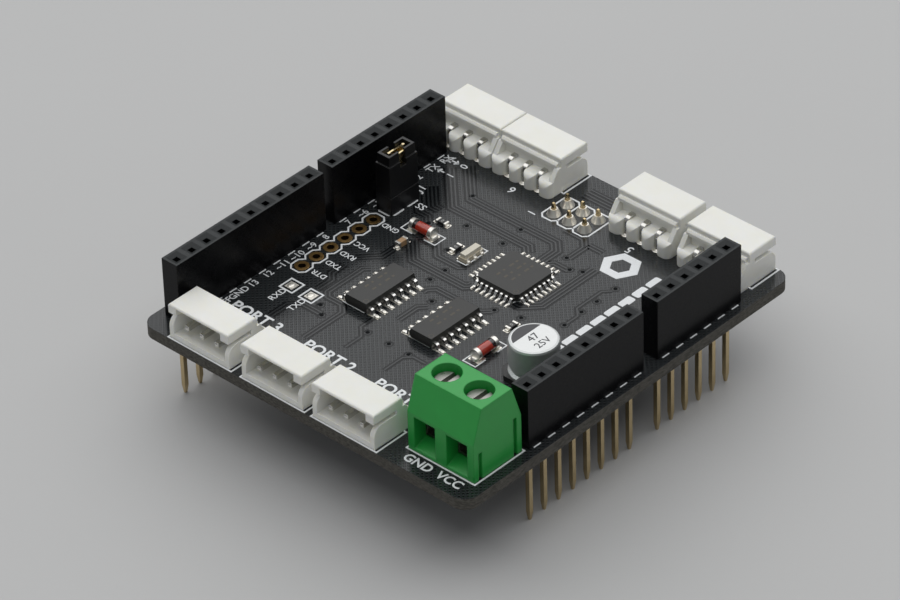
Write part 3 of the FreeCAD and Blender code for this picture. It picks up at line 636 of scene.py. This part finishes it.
class OBJECT_OT_tracks(bpy.types.Operator):
    """Lay the masked copper tracks on both faces and the covered vias on the upper one"""
    bl_idname = "board.tracks"
    bl_label = "Tracks"

    def buses(self):
        """Lines of each bundle, with the number of tracks and the gap between them."""
        return (
            ([(6.4, 33.9), (12.9, 33.9), (13.9, 34.9), (13.9, 37.3), (14.8, 38.2), (21.2, 38.2),
              (22.0, 37.4)], 2, -0.5),
            ([(7.0, 39.6), (9.8, 39.6), (10.9, 38.5), (10.9, 35.5)], 2, 0.5),
            ([(16.4, 27.8), (19.8, 27.8), (20.8, 26.8)], 2, -0.5),
            ([(22.4, 29.4), (23.2, 29.4), (24.2, 28.4), (24.2, 21.3), (25.2, 20.3)], 2, -0.5),
            ([(29.2, 37.9), (26.0, 34.7), (26.0, 25.9), (26.8, 25.1), (27.6, 25.1)], 3, 0.5),
            ([(31.0, 35.2), (28.7, 32.9), (28.7, 29.2), (29.5, 28.4)], 2, 0.5),
            ([(36.4, 25.2), (37.2, 26.0), (37.2, 38.6), (43.4, 44.8)], 3, -0.5),
            ([(36.5, 23.0), (39.0, 23.0), (40.0, 24.0), (40.0, 38.0), (45.2, 43.2)], 3, -0.5),
            ([(36.8, 21.7), (37.4, 21.1), (37.4, 18.7)], 2, -0.5),
            ([(39.0, 20.6), (41.9, 20.6), (43.0, 21.7), (43.0, 24.6)], 2, -0.5),
            ([(42.9, 20.4), (42.9, 18.0)], 2, -0.5),
            ([(27.4, 19.9), (27.4, 18.1), (29.6, 15.9), (39.4, 15.9)], 3, 0.5),
            ([(50.0, 27.8), (50.0, 21.6), (51.6, 20.0)], 4, 0.55),
            ([(14.6, 39.5), (16.9, 39.5), (17.9, 40.5), (20.3, 40.5)], 2, -0.5),
            ([(22.4, 40.4), (24.6, 38.2), (27.6, 38.2)], 2, -0.5),
            ([(33.0, 38.4), (34.1, 39.5), (34.1, 41.1), (36.6, 43.6)], 2, -0.5),
            ([(35.8, 39.2), (35.8, 40.6), (39.0, 43.8)], 3, -0.5),
            ([(28.6, 11.7), (31.0, 11.7), (32.1, 12.8), (36.6, 12.8), (37.5, 11.9)], 1, 0.5),
            ([(16.0, 31.0), (15.0, 30.0), (12.4, 30.0), (11.0, 28.6), (8.2, 28.6)], 1, 0.5),
            ([(8.0, 22.0), (11.2, 22.0), (12.1, 21.1), (12.1, 19.0)], 1, 0.5),
        )

    def lower_buses(self):
        """Bundles on the lower face."""
        return (
            ([(6.0, 17.0), (12.0, 17.0), (15.0, 20.0), (15.0, 33.0), (18.0, 36.0), (30.0, 36.0)], 3, 0.6),
            ([(6.0, 29.0), (9.0, 29.0), (11.5, 31.5), (11.5, 40.0), (14.0, 42.5)], 3, 0.6),
            ([(47.0, 38.0), (42.0, 38.0), (38.0, 34.0), (38.0, 24.0), (34.0, 20.0), (20.0, 20.0)], 4, 0.6),
            ([(47.0, 11.0), (40.0, 11.0), (36.5, 14.5), (24.0, 14.5), (20.0, 10.5), (12.0, 10.5)], 3, 0.6),
            ([(24.0, 45.5), (24.0, 40.0), (27.0, 37.0), (27.0, 26.0), (31.0, 22.0)], 2, 0.6),
            ([(44.0, 28.0), (41.0, 31.0), (41.0, 41.0), (38.0, 44.0)], 2, 0.6),
        )

    def vias(self):
        """Centres of the covered vias."""
        return ((41.1, 38.1), (35.95, 34.35), (39.7, 28.8), (36.1, 28.5), (27.4, 30.1), (24.85, 30.2),
                (39.0, 20.6), (37.4, 18.7), (38.1, 17.2), (38.1, 11.9), (34.7, 11.9), (31.9, 11.9),
                (28.6, 11.7), (25.35, 20.1), (30.7, 32.7), (33.3, 38.3), (12.4, 36.7), (11.0, 35.2),
                (12.1, 28.6), (12.1, 25.1), (12.1, 21.9), (21.7, 27.0), (26.3, 16.6))

    def execute(self, context):
        looks = context.scene.board_looks
        width = looks.track_width / MM
        height = looks.track_height / MM
        clearance = 0.5
        film = 0.006
        clearing = Sheet()
        via_shade_discs = Sheet()
        tracks = Sheet()
        under = off_datum(board_low).z
        for buses, rise, way in ((self.buses(), 0.0, 1), (self.lower_buses(), under, -1)):
            for points, count, gap in buses:
                middle = alongside(points, gap * (count - 1) / 2)
                clearing.ribbon(middle, abs(gap) * (count - 1) + width + clearance, way * film, rise)
                for index in range(count):
                    tracks.ribbon(alongside(points, gap * index), width, way * height, rise)
        for centre in self.vias():
            clearing.turned(centre, [(0.62, 0.0), (0.6, 0.008), (0.0005, 0.009)])
            # Painted shade: a small disc of mask that reflects almost nothing marks the shaded dimple of
            # each covered via.
            via_shade_discs.turned(centre, [(0.3, 0.0), (0.28, 0.037), (0.0005, 0.038)])
            tracks.turned(centre, [(0.46, 0.0), (0.42, 0.035), (0.24, 0.036)])
        mask = tuple(looks.mask)
        bare = smooth_mask("mask_over_laminate", mask, 0.26)
        clearing.finished("track_clearances", bare)
        via_shade_discs.finished("via_painted_shade", smooth_mask("mask_painted_shade_at_vias", mask, 0.03))
        covered = smooth_mask("mask_over_tracks", scaled(looks.masked_copper, 0.9), 0.5)
        tracks.finished("masked_tracks_and_vias", covered, smooth=True)
        return {"FINISHED"}


class OBJECT_OT_legend(bpy.types.Operator):
    """Print the white outlines, pin numbers and marks"""
    bl_idname = "board.legend"
    bl_label = "Printed legend"

    def header_outlines(self, sheet, line):
        """Dashes along both sides of the headers, one for each pin."""
        reach = 1.42
        half = 0.6
        for name in ("digital_header_long", "digital_header_short", "power_header", "analog_header"):
            low, high = corners(name + "_housing")
            middle = (low.y + high.y) / 2
            for y in (middle - reach, middle + reach):
                for index in range(round((high.x - low.x) / PITCH)):
                    x = low.x + (index + 0.5) * PITCH
                    sheet.ribbon([(x - half, y), (x + half, y)], line * 0.8, INK)

    def pin_numbers(self, sheet, line):
        """Labels in front of the digital headers, with an arrow for each serial signal."""
        long_names = {2: "REF", 3: "GND", 4: "13", 5: "12", 6: "~11", 7: "~10", 8: "~9", 9: "8"}
        short_names = {0: "7", 1: "~6", 2: "~5", 3: "4", 4: "~3", 5: "2", 6: "TX", 7: "RX"}
        short_first = corners("digital_header_short_housing")[0].x + PITCH / 2
        for first, names in ((0.0, long_names), (short_first, short_names)):
            for index, label in names.items():
                sheet.lettering(label, (first + index * PITCH + 0.1, digital_row - 2.35), 1.0)
        barb = 0.4
        barb_drop = 0.42
        for index, digit, tip, tail in ((6, "1", 45.25, 44.2), (7, "0", 44.2, 45.25)):
            x = short_first + index * PITCH + 0.35
            barb_y = tip - math.copysign(barb_drop, tip - tail)
            sheet.ribbon([(x, tail), (x, tip)], line, INK)
            sheet.ribbon([(x - barb, barb_y), (x, tip), (x + barb, barb_y)], line, INK)
            sheet.lettering(digit, (x, 43.15), 1.1)

    def serial_marks(self, sheet, line):
        """Chained outline and signal names of the serial port."""
        low, high = corners("serial_port_eyelets")
        first = low.x + 0.95
        row = (low.y + high.y) / 2
        sheet.ribbon(chained_outline((first, row), 6, 1.24), line, INK, closed=True)
        for index, label in {0: "DTR", 1: "TXD", 2: "RXD", 3: "VCC", 5: "GND"}.items():
            sheet.lettering(label, (first + index * PITCH + 0.1, row - 2.85), 0.85, math.pi / 2)

    def pad_marks(self, sheet, line):
        """Squares round the two signal pads."""
        left, right = 11.9, 14.05
        for front, label in ((41.05, "RXD"), (37.8, "TXD")):
            rear = front + 2.1
            sheet.boxed(left, right, front, rear, line)
            sheet.lettering(label, (left - 1.35, front + 1.1), 0.95)

    def port_outlines(self, sheet, line):
        """Line round each servo port and its number."""
        margin = 0.15
        covered = 2.3
        for number in PORTS:
            low, high = corners(port(number, "housing"))
            near = number in NEAR_PORTS
            left = low.x - margin if near else low.x + covered
            right = high.x - covered if near else high.x + margin
            front = low.y - 0.4
            rear = high.y + 0.2
            sheet.boxed(left, right, front, rear, line)
            middle = (low.y + high.y) / 2
            if near:
                label = "PORT " + str(number)
                sheet.lettering(label, (high.x + 2.4, middle), 1.75, -math.pi / 2, weight=0.05)
            else:
                sheet.lettering(str(number), (low.x - 1.3, middle), 1.3, math.pi / 2)

    def part_outlines(self, sheet, line):
        """Jumper, diode, chip and programming socket outlines."""
        thin = line * 0.75
        low, high = corners("jumper_base")
        first = (low.x + PITCH / 2, (low.y + high.y) / 2)
        sheet.ribbon(chained_outline(first, 2, 1.35), line, INK, closed=True)
        sheet.lettering("J1", (38.1, 44.1), 1.35)
        sheet.lettering("SS", (35.3, 41.4), 1.1, math.pi / 2)
        for points in ([(30.4, 36.4), (30.4, 34.6), (32.35, 34.6), (32.35, 36.4)],
                       [(30.4, 38.4), (30.4, 40.3), (32.35, 40.3), (32.35, 38.4)],
                       [(17.3, 14.2), (15.5, 14.2), (15.5, 16.2), (17.3, 16.2)],
                       [(19.4, 14.2), (21.1, 14.2), (21.1, 16.2), (19.4, 16.2)],
                       [(29.85, 30.4), (29.85, 28.9), (33.75, 28.9), (33.75, 30.4)],
                       [(14.75, 31.6), (14.75, 35.2)], [(14.85, 20.9), (14.85, 24.4)],
                       [(27.9, 19.4), (28.3, 19.4), (28.9, 18.8)]):
            sheet.ribbon(points, thin, INK)
        low, high = corners("programming_socket_housing")
        middle = (low + high) / 2
        for way in (-1, 1):
            side = middle.x + way * 2.6
            waist = side - way * 0.55
            points = []
            for row in (1, 0, -1):
                y = middle.y + row * PITCH
                points += [(waist, y + PITCH / 2), (side, y + 0.72), (side, y - 0.72)]
            points.append((waist, middle.y - 1.5 * PITCH))
            sheet.ribbon(points, line, INK)
        for row in (1.5, 0.5, -0.5, -1.5):
            y = middle.y + row * PITCH
            sheet.ribbon([(middle.x - 2.1, y), (middle.x + 2.1, y)], line, INK)
        sheet.lettering("1", (43.2, 30.1), 1.2)

    def terminal_marks(self, sheet, line):
        """Outline and polarity of the screw terminal."""
        low, high = corners("terminal_housing")
        left, right = low.x - 0.15, high.x + 0.2
        front, rear = low.y - 0.2, high.y + 0.2
        sheet.boxed(left, right, front, rear, line)
        middle = (low.y + high.y) / 2
        sheet.lettering("GND", (-2.45, middle + 2.35), 1.35, -math.pi / 2, weight=0.04)
        sheet.lettering("VCC", (-2.45, middle - 2.6), 1.35, -math.pi / 2, weight=0.04)

    def plain_marks(self, sheet):
        """Hexagon ring and write-on strip."""
        radius = 2.05
        angles = [math.tau * (side + 0.5) / 6 for side in range(6)]
        hexagon = [(42.0 + radius * math.cos(angle), 14.5 + radius * math.sin(angle)) for angle in angles]
        sheet.ribbon(hexagon, 1.15, INK, closed=True)
        for index in range(8):
            sheet.rounded((24.3 + index * PITCH, 9.15), (2.2, 1.25), 0.3, [(0.0, 0.0), (0.01, INK)])

    def execute(self, context):
        looks = context.scene.board_looks
        sheet = Sheet()
        line = looks.legend_line / MM
        self.header_outlines(sheet, line)
        self.pin_numbers(sheet, line)
        self.serial_marks(sheet, line)
        self.pad_marks(sheet, line)
        self.port_outlines(sheet, line)
        self.part_outlines(sheet, line)
        self.terminal_marks(sheet, line)
        self.plain_marks(sheet)
        ink = printed_ink("legend_ink", tuple(looks.legend))
        sheet.finished("printed_legend", ink)
        return {"FINISHED"}


class OBJECT_OT_headers(bpy.types.Operator):
    """Finish the stacking headers, the programming socket and their contacts"""
    bl_idname = "board.headers"
    bl_label = "Headers"

    def execute(self, context):
        black = tuple(context.scene.plastic_looks.black)
        light = scaled(black, 1.5)
        # The header tops carry a painted highlight from the upward-facing blend.
        housing = moulding("header_moulding", black, light, 0.07, 0.004, 0.28, 0.09, shine=0.14,
                           satin=tuple(context.scene.plastic_looks.satin))
        give(nodes_like("header_long_housing", "header_short_housing", "power_header_housing",
                        "analog_header_housing", "programming_socket_housing"), housing)
        gold = metal("gold_plated_contacts", (0.52, 0.40, 0.22), (0.70, 0.56, 0.33), 0.22, 0.2, 0.002,
                     0.03, (1, 1, 0.15))
        give(nodes_like("contacts"), gold)
        low, high = corners("programming_socket_housing")
        middle = (low + high) / 2
        flare = [(0.92, 0.0), (0.9, 0.08), (0.82, 0.18), (0.68, 0.27), (0.52, 0.35), (0.34, 0.42)]
        cones = Sheet()
        for column in (-0.5, 0.5):
            for row in (-1, 0, 1):
                cones.turned((middle.x + column * PITCH, middle.y + row * PITCH), flare)
        cones.finished("socket_solder", solder_metal("socket_solder"), smooth=True)
        return {"FINISHED"}


class OBJECT_OT_servo_ports(bpy.types.Operator):
    """Finish the servo ports and their pins, and tin the lands behind them"""
    bl_idname = "board.servo_ports"
    bl_label = "Servo ports"

    def execute(self, context):
        ivory = tuple(context.scene.plastic_looks.ivory)
        shade = (ivory[0] * 0.96, ivory[1] * 0.95, ivory[2] * 0.90)
        nylon = moulding("ivory_nylon", shade, ivory, 0.12, 0.005, 0.4, 0.12, deep=0.85)
        give([port(number, "housing") for number in PORTS], nylon)
        tin = metal("tinned_pins", (0.60, 0.59, 0.55), (0.78, 0.77, 0.73), 0.24, 0.2, 0.003, 0.05)
        give([port(number, "pins") for number in PORTS], tin)
        meniscus = [(0.85, 0.0), (0.83, 0.02), (0.62, 0.05), (0.44, 0.16), (0.40, 0.22)]
        half_pin = 0.32
        rings = Sheet()
        for number in PORTS:
            low, high = corners(port(number, "pins"))
            tail = high.x - half_pin if number in NEAR_PORTS else low.x + half_pin
            for step in (-1, 0, 1):
                rings.turned((tail, (low.y + high.y) / 2 + step * PORT_PITCH), meniscus)
        rings.finished("port_pin_lands", solder_metal("port_land_solder"), smooth=True)
        return {"FINISHED"}


class OBJECT_OT_screw_terminal(bpy.types.Operator):
    """Finish the screw terminal, its clamps, legs and screws"""
    bl_idname = "board.screw_terminal"
    bl_label = "Screw terminal"

    def execute(self, context):
        green = tuple(context.scene.plastic_looks.green)
        shell = moulding("green_moulding", scaled(green, 0.85), green, 0.1, 0.005, 0.34, 0.24, deep=0.05)
        give(["terminal_housing", "terminal_base_plates"], shell)
        # The screw colour is nickel darkened with painted shade, standing in for the shade down the screw
        # bores.
        give(["clamp_screw_1", "clamp_screw_2"],
             metal("nickel_screws_painted_shade", (0.34, 0.33, 0.31), (0.52, 0.51, 0.48), 0.42, 0.5, 0.0012, 0.08))
        give(["wire_clamp_1", "wire_clamp_2"],
             metal("nickel_clamps", (0.50, 0.47, 0.42), (0.66, 0.63, 0.57), 0.3, 0.2, 0.004, 0.08))
        give(["terminal_legs"], metal("tinned_legs", (0.62, 0.61, 0.58), (0.76, 0.75, 0.72), 0.28))
        return {"FINISHED"}


class OBJECT_OT_jumper(bpy.types.Operator):
    """Finish the jumper's pins, base, cap and spring"""
    bl_idname = "board.jumper"
    bl_label = "Jumper"

    def execute(self, context):
        black = tuple(context.scene.plastic_looks.black)
        shell = moulding("jumper_moulding", black, scaled(black, 1.8), 0.08, 0.005, 0.34, 0.1)
        give(["jumper_base", "jumper_cap"], shell)
        give(["jumper_pins"], metal("jumper_gold", (0.62, 0.50, 0.30), (0.82, 0.70, 0.46), 0.2))
        give(["jumper_spring"], metal("spring_brass", (0.66, 0.54, 0.30), (0.84, 0.72, 0.44), 0.25))
        return {"FINISHED"}


class OBJECT_OT_chips(bpy.types.Operator):
    """Finish the chips and add their marks, lands and solder"""
    bl_idname = "board.chips"
    bl_label = "Chips"

    def lands(self, pads, joints):
        """Tinned land and solder toe of every chip lead."""
        toe = 0.45
        heap = 0.08
        for name, pitch, count, length, four_sided in (("microcontroller", 0.8, 8, 1.5, True),
                                                       ("buffer_chip_1", 1.27, 7, 1.9, False),
                                                       ("buffer_chip_2", 1.27, 7, 1.9, False)):
            low, high = corners(name + "_leads")
            middle = (low + high) / 2
            wide = pitch * 0.5
            inset = toe - length / 2
            for index in range(count):
                shift = (index - (count - 1) / 2) * pitch
                x = middle.x + shift
                y = middle.y + shift
                for side, edge in ((-1, low.y), (1, high.y)):
                    pads.land((x, edge + side * inset), (wide, length), 0.08)
                    joints.mound((x, edge + side * heap), (wide * 0.92, 0.85), 0.2)
                if four_sided:
                    for side, edge in ((-1, low.x), (1, high.x)):
                        pads.land((edge + side * inset, y), (length, wide), 0.08)
                        joints.mound((edge + side * heap, y), (0.85, wide * 0.92), 0.2)

    def marks(self, sheet):
        """Pin-one rings and plain dashes on the chips."""
        for name, dot, rows in (("microcontroller_body", (-2.7, -2.7), 3),
                                ("buffer_chip_1_body", (-3.7, -1.2), 2),
                                ("buffer_chip_2_body", (-3.7, -1.2), 2)):
            low, high = corners(name)
            middle = (low + high) / 2
            foot = high.z + 0.001
            crest = high.z + 0.006
            sheet.turned((middle.x + dot[0], middle.y + dot[1]),
                         [(0.34, foot), (0.33, crest), (0.27, crest), (0.26, foot)])
            for row in range(rows):
                y = middle.y + 0.35 + (rows / 2 - row - 0.5) * 1.05
                for index, length in enumerate((0.63, 0.35, 0.77, 0.42)):
                    x = middle.x - 1.7 + index * 1.15 + 0.2 * row
                    sheet.ribbon([(x, y), (x + length, y)], 0.3, 0.004, foot)

    def execute(self, context):
        compound = moulding("chip_compound", (0.018, 0.018, 0.017), (0.030, 0.030, 0.028),
                            0.05, 0.006, 0.42, 0.05)
        give(nodes_like("microcontroller_body", "buffer_chip_1_body", "buffer_chip_2_body"), compound)
        lead = metal("chip_leads", (0.70, 0.69, 0.66), (0.86, 0.85, 0.82), 0.2, 0.15, 0.002, 0.03)
        give(nodes_like("microcontroller_leads", "buffer_chip_1_leads", "buffer_chip_2_leads"), lead)
        pads = Sheet()
        joints = Sheet()
        self.lands(pads, joints)
        solder = solder_metal("chip_solder")
        pads.finished("chip_lands", solder)
        joints.finished("chip_solder_joints", solder, smooth=True)
        marks = Sheet()
        self.marks(marks)
        etch = printed_ink("laser_etch", (0.085, 0.075, 0.055), 0.6)
        marks.finished("chip_marks", etch)
        return {"FINISHED"}


class OBJECT_OT_capacitor(bpy.types.Operator):
    """Finish the capacitor and print its polarity segment"""
    bl_idname = "board.capacitor"
    bl_label = "Capacitor"

    def polarity(self, ink):
        """Solid segment on the lid and a plain value beside it."""
        low, high = corners("capacitor_can")
        middle = (low + high) / 2
        radius = (high.x - low.x) / 2 - 0.52
        start = math.asin(0.42)
        steps = 24
        outline = []
        for step in range(steps + 1):
            angle = start + (math.pi - 2 * start) * step / steps
            outline.append((middle.x + radius * math.cos(angle), middle.y + radius * math.sin(angle)))
        ink.stacked([ink.loop(outline, high.z + lift) for lift in (0.001, 0.012)], lid=True)
        ink.lettering("47", (middle.x, middle.y + 0.1), 1.15, rise=high.z - 0.008)
        ink.lettering("25V", (middle.x, middle.y - 1.45), 1.05, rise=high.z - 0.008)

    def execute(self, context):
        base = moulding("capacitor_base_moulding", (0.010, 0.010, 0.010), (0.018, 0.018, 0.018),
                        0.08, 0.004, 0.4, 0.08)
        seal = moulding("seal_rubber", (0.02, 0.02, 0.02), (0.03, 0.03, 0.03), 0.1, 0.006, 0.7, 0.03)
        foil = metal("wound_foil", (0.42, 0.38, 0.32), (0.60, 0.56, 0.48), 0.45, 0.15, 0.01)
        give(["capacitor_can"], can_aluminium())
        give(["capacitor_base"], base)
        give(["capacitor_seal"], seal)
        give(["capacitor_leads"], metal("capacitor_tin", (0.68, 0.67, 0.64), (0.82, 0.81, 0.78), 0.25))
        give(["capacitor_winding"], foil)
        ink = Sheet()
        self.polarity(ink)
        black = printed_ink("capacitor_ink", (0.05, 0.05, 0.055), 0.4)
        ink.finished("capacitor_print", black)
        return {"FINISHED"}


class OBJECT_OT_small_parts(bpy.types.Operator):
    """Finish the diodes, resonator and chip parts, with their lands"""
    bl_idname = "board.small_parts"
    bl_label = "Small parts"

    def diode_lands(self, lands, joints):
        """Land and heap of solder at each end of the two diodes."""
        for name, along_y in (("diode_1_caps", True), ("diode_2_caps", False)):
            low, high = corners(name)
            middle = (low + high) / 2
            inset = 0.35 - 1.5 / 2
            for side in (-1, 1):
                if along_y:
                    edge = low.y if side < 0 else high.y
                    lands.land((middle.x, edge + side * inset), (1.7, 1.5), 0.12)
                    joints.mound((middle.x, edge + side * 0.05), (1.25, 0.8), 0.5)
                else:
                    edge = low.x if side < 0 else high.x
                    lands.land((edge + side * inset, middle.y), (1.5, 1.7), 0.12)
                    joints.mound((edge + side * 0.05, middle.y), (0.8, 1.25), 0.5)

    def resonator_lands(self, lands, joints):
        """Land and solder toe of the resonator's three terminals."""
        low, high = corners("resonator_terminals")
        middle = (low + high) / 2
        for step in (-1, 0, 1):
            x = middle.x + step * 1.2
            lands.land((x, middle.y), (0.7, 2.0))
            joints.mound((x, low.y - 0.1), (0.6, 0.55), 0.28)

    def chip_part_lands(self, places, lands, joints):
        """Land and solder toe at both ends of the chip resistors and the chip capacitor."""
        for x, y, along_y in places:
            for side in (-1, 1):
                pad = side * 0.92
                toe = side * 0.9
                if along_y:
                    lands.land((x, y + pad), (0.9, 0.6))
                    joints.mound((x, y + toe), (0.7, 0.45), 0.2)
                else:
                    lands.land((x + pad, y), (0.6, 0.9))
                    joints.mound((x + toe, y), (0.45, 0.7), 0.2)

    def execute(self, context):
        ends = metal("tinned_ends", (0.74, 0.72, 0.67), (0.88, 0.86, 0.80), 0.34, 0.15, 0.004, 0.05)
        ceramic = moulding("resonator_ceramic", (0.40, 0.35, 0.26), (0.52, 0.47, 0.36),
                           0.06, 0.006, 0.55, 0.05)
        lid = moulding("resonator_cap", (0.55, 0.51, 0.42), (0.68, 0.64, 0.54),
                       0.08, 0.004, 0.35, 0.06)
        film = moulding("resistor_film", (0.010, 0.010, 0.011), (0.022, 0.022, 0.022),
                        0.06, 0.004, 0.3, 0.03)
        tan = moulding("tan_ceramic", (0.30, 0.18, 0.09), (0.42, 0.27, 0.15),
                       0.05, 0.005, 0.45, 0.04)
        give(["diode_1_glass", "diode_2_glass"], tinted_glass())
        give(["diode_1_caps", "diode_2_caps", "resonator_terminals", "chip_end_caps"], ends)
        give(["resonator_base"], ceramic)
        give(["resonator_lid"], lid)
        give(["chip_resistor_bodies"], film)
        give(["chip_capacitor_body"], tan)
        resistors = ((31.5, 32.07, False), (24.15, 16.2, False), (34.4, 37.0, True))
        chip_capacitor = (27.85, 37.75, False)
        lands = Sheet()
        joints = Sheet()
        self.diode_lands(lands, joints)
        self.resonator_lands(lands, joints)
        self.chip_part_lands(resistors + (chip_capacitor,), lands, joints)
        zeros = Sheet()
        top = corners("chip_resistor_bodies")[1].z
        for x, y, along_y in resistors:
            zeros.lettering("0", (x, y), 0.46, -math.pi / 2 if along_y else 0.0, top)
        zeros.finished("resistor_zeros", printed_ink("resistor_ink", (0.42, 0.42, 0.40)))
        solder = solder_metal("part_solder")
        lands.finished("part_lands", solder)
        joints.finished("part_solder_joints", solder, smooth=True)
        return {"FINISHED"}


class OBJECT_OT_solder(bpy.types.Operator):
    """Finish the pin joints, the plated holes and the signal pads"""
    bl_idname = "board.solder"
    bl_label = "Solder and plating"

    def execute(self, context):
        give(["solder_joints", "serial_solder_pads"], solder_metal())
        give(["serial_port_eyelets"], eyelet_gold())
        blobs = Sheet()
        low, high = corners("serial_solder_pads")
        half_pad = 0.635
        for y in (low.y + half_pad, high.y - half_pad):
            blobs.mound(((low.x + high.x) / 2, y + 0.1), (1.05, 0.9), 0.12, 0.07)
        blobs.finished("pad_solder", solder_metal("pad_tin"), smooth=True)
        return {"FINISHED"}


class OBJECT_OT_stage(bpy.types.Operator):
    """Lay the table top, hang the softboxes and set up the camera"""
    bl_idname = "board.stage"
    bl_label = "Stage"

    def floor(self, looks):
        """Round table top under the pin tips."""
        disc = bmesh.new()
        bmesh.ops.create_circle(disc, cap_ends=True, segments=96, radius=1.6)
        data = bpy.data.meshes.new("table_top")
        disc.to_mesh(data)
        disc.free()
        data.materials.append(pale_floor(tuple(looks.floor)))
        table = bpy.data.objects.new("table_top", data)
        table.location.z = cad_box[0].z
        bpy.context.scene.collection.objects.link(table)

    def lamp(self, name, place, aim, size, power):
        """Square softbox that shines along a direction; places and sizes are in metres."""
        data = bpy.data.lights.new(name, "AREA")
        data.size = size
        data.energy = power
        lamp = bpy.data.objects.new(name, data)
        lamp.location = place
        lamp.rotation_euler = Vector(aim).to_track_quat("-Z", "Y").to_euler()
        bpy.context.scene.collection.objects.link(lamp)

    def camera(self, looks):
        """Long lens that looks down on the board's near corner."""
        turn, rise, roll = looks.azimuth, looks.elevation, looks.roll
        right = Vector((math.cos(turn), math.sin(turn), 0))
        back = Vector((math.sin(turn) * math.cos(rise), -math.cos(turn) * math.cos(rise), math.sin(rise)))
        up = back.cross(right)
        across = right * math.cos(roll) + up * math.sin(roll)
        upward = up * math.cos(roll) - right * math.sin(roll)
        data = bpy.data.cameras.new("camera")
        data.lens = looks.lens
        data.sensor_width = 36
        data.clip_start = 0.01
        data.clip_end = 20
        camera = bpy.data.objects.new("camera", data)
        facing = Matrix((across, upward, back)).transposed().to_4x4()
        camera.matrix_world = Matrix.Translation(datum + Vector(looks.stand)) @ facing
        bpy.context.scene.collection.objects.link(camera)
        bpy.context.scene.camera = camera

    def execute(self, context):
        looks = context.scene.stage_looks
        self.floor(looks)
        self.lamp("overhead_softbox", (0.45, 0.43, 0.75), (0, 0, -1), 2.0, looks.softbox)
        self.lamp("front_softbox", (-0.78, -0.86, 0.5), (0.78, 0.86, -0.5), 1.0, looks.front)
        world = bpy.data.worlds.new("studio")
        world.use_nodes = True
        background = world.node_tree.nodes["Background"]
        background.inputs["Color"].default_value = rgb(0.92, 0.95, 1.0)
        background.inputs["Strength"].default_value = looks.fill
        context.scene.world = world
        context.scene.view_settings.view_transform = "Standard"
        self.camera(looks)
        return {"FINISHED"}


PIECES = (OBJECT_OT_circuit_board, OBJECT_OT_tracks, OBJECT_OT_legend, OBJECT_OT_headers,
          OBJECT_OT_servo_ports, OBJECT_OT_screw_terminal, OBJECT_OT_jumper, OBJECT_OT_chips,
          OBJECT_OT_capacitor, OBJECT_OT_small_parts, OBJECT_OT_solder, OBJECT_OT_stage)


class VIEW3D_PT_board(bpy.types.Panel):
    """Buttons for the board's pieces and the sizes they use"""
    bl_label = "Servo driver board"
    bl_space_type = "VIEW_3D"
    bl_region_type = "UI"
    bl_category = "Board"

    def draw(self, context):
        for looks in (context.scene.board_looks, context.scene.plastic_looks, context.scene.stage_looks):
            for name in looks.__annotations__:
                self.layout.prop(looks, name)
        for piece in PIECES:
            self.layout.operator(piece.bl_idname)


GROUPS = {"board_looks": BoardLooks, "plastic_looks": PlasticLooks, "stage_looks": StageLooks}


def register():
    """Register the groups of properties, the operators and the panel."""
    for group in GROUPS.values():
        bpy.utils.register_class(group)
    for name, group in GROUPS.items():
        setattr(bpy.types.Scene, name, PointerProperty(type=group))
    for piece in PIECES:
        bpy.utils.register_class(piece)
    bpy.utils.register_class(VIEW3D_PT_board)


def unregister():
    """Take away all that register added."""
    bpy.utils.unregister_class(VIEW3D_PT_board)
    for piece in PIECES:
        bpy.utils.unregister_class(piece)
    for name in GROUPS:
        delattr(bpy.types.Scene, name)
    for group in GROUPS.values():
        bpy.utils.unregister_class(group)


def main():
    """Register the pieces and build every one of them."""
    register()
    bpy.ops.board.circuit_board()
    bpy.ops.board.tracks()
    bpy.ops.board.legend()
    bpy.ops.board.headers()
    bpy.ops.board.servo_ports()
    bpy.ops.board.screw_terminal()
    bpy.ops.board.jumper()
    bpy.ops.board.chips()
    bpy.ops.board.capacitor()
    bpy.ops.board.small_parts()
    bpy.ops.board.solder()
    bpy.ops.board.stage()


if __name__ == "__main__":
    main()
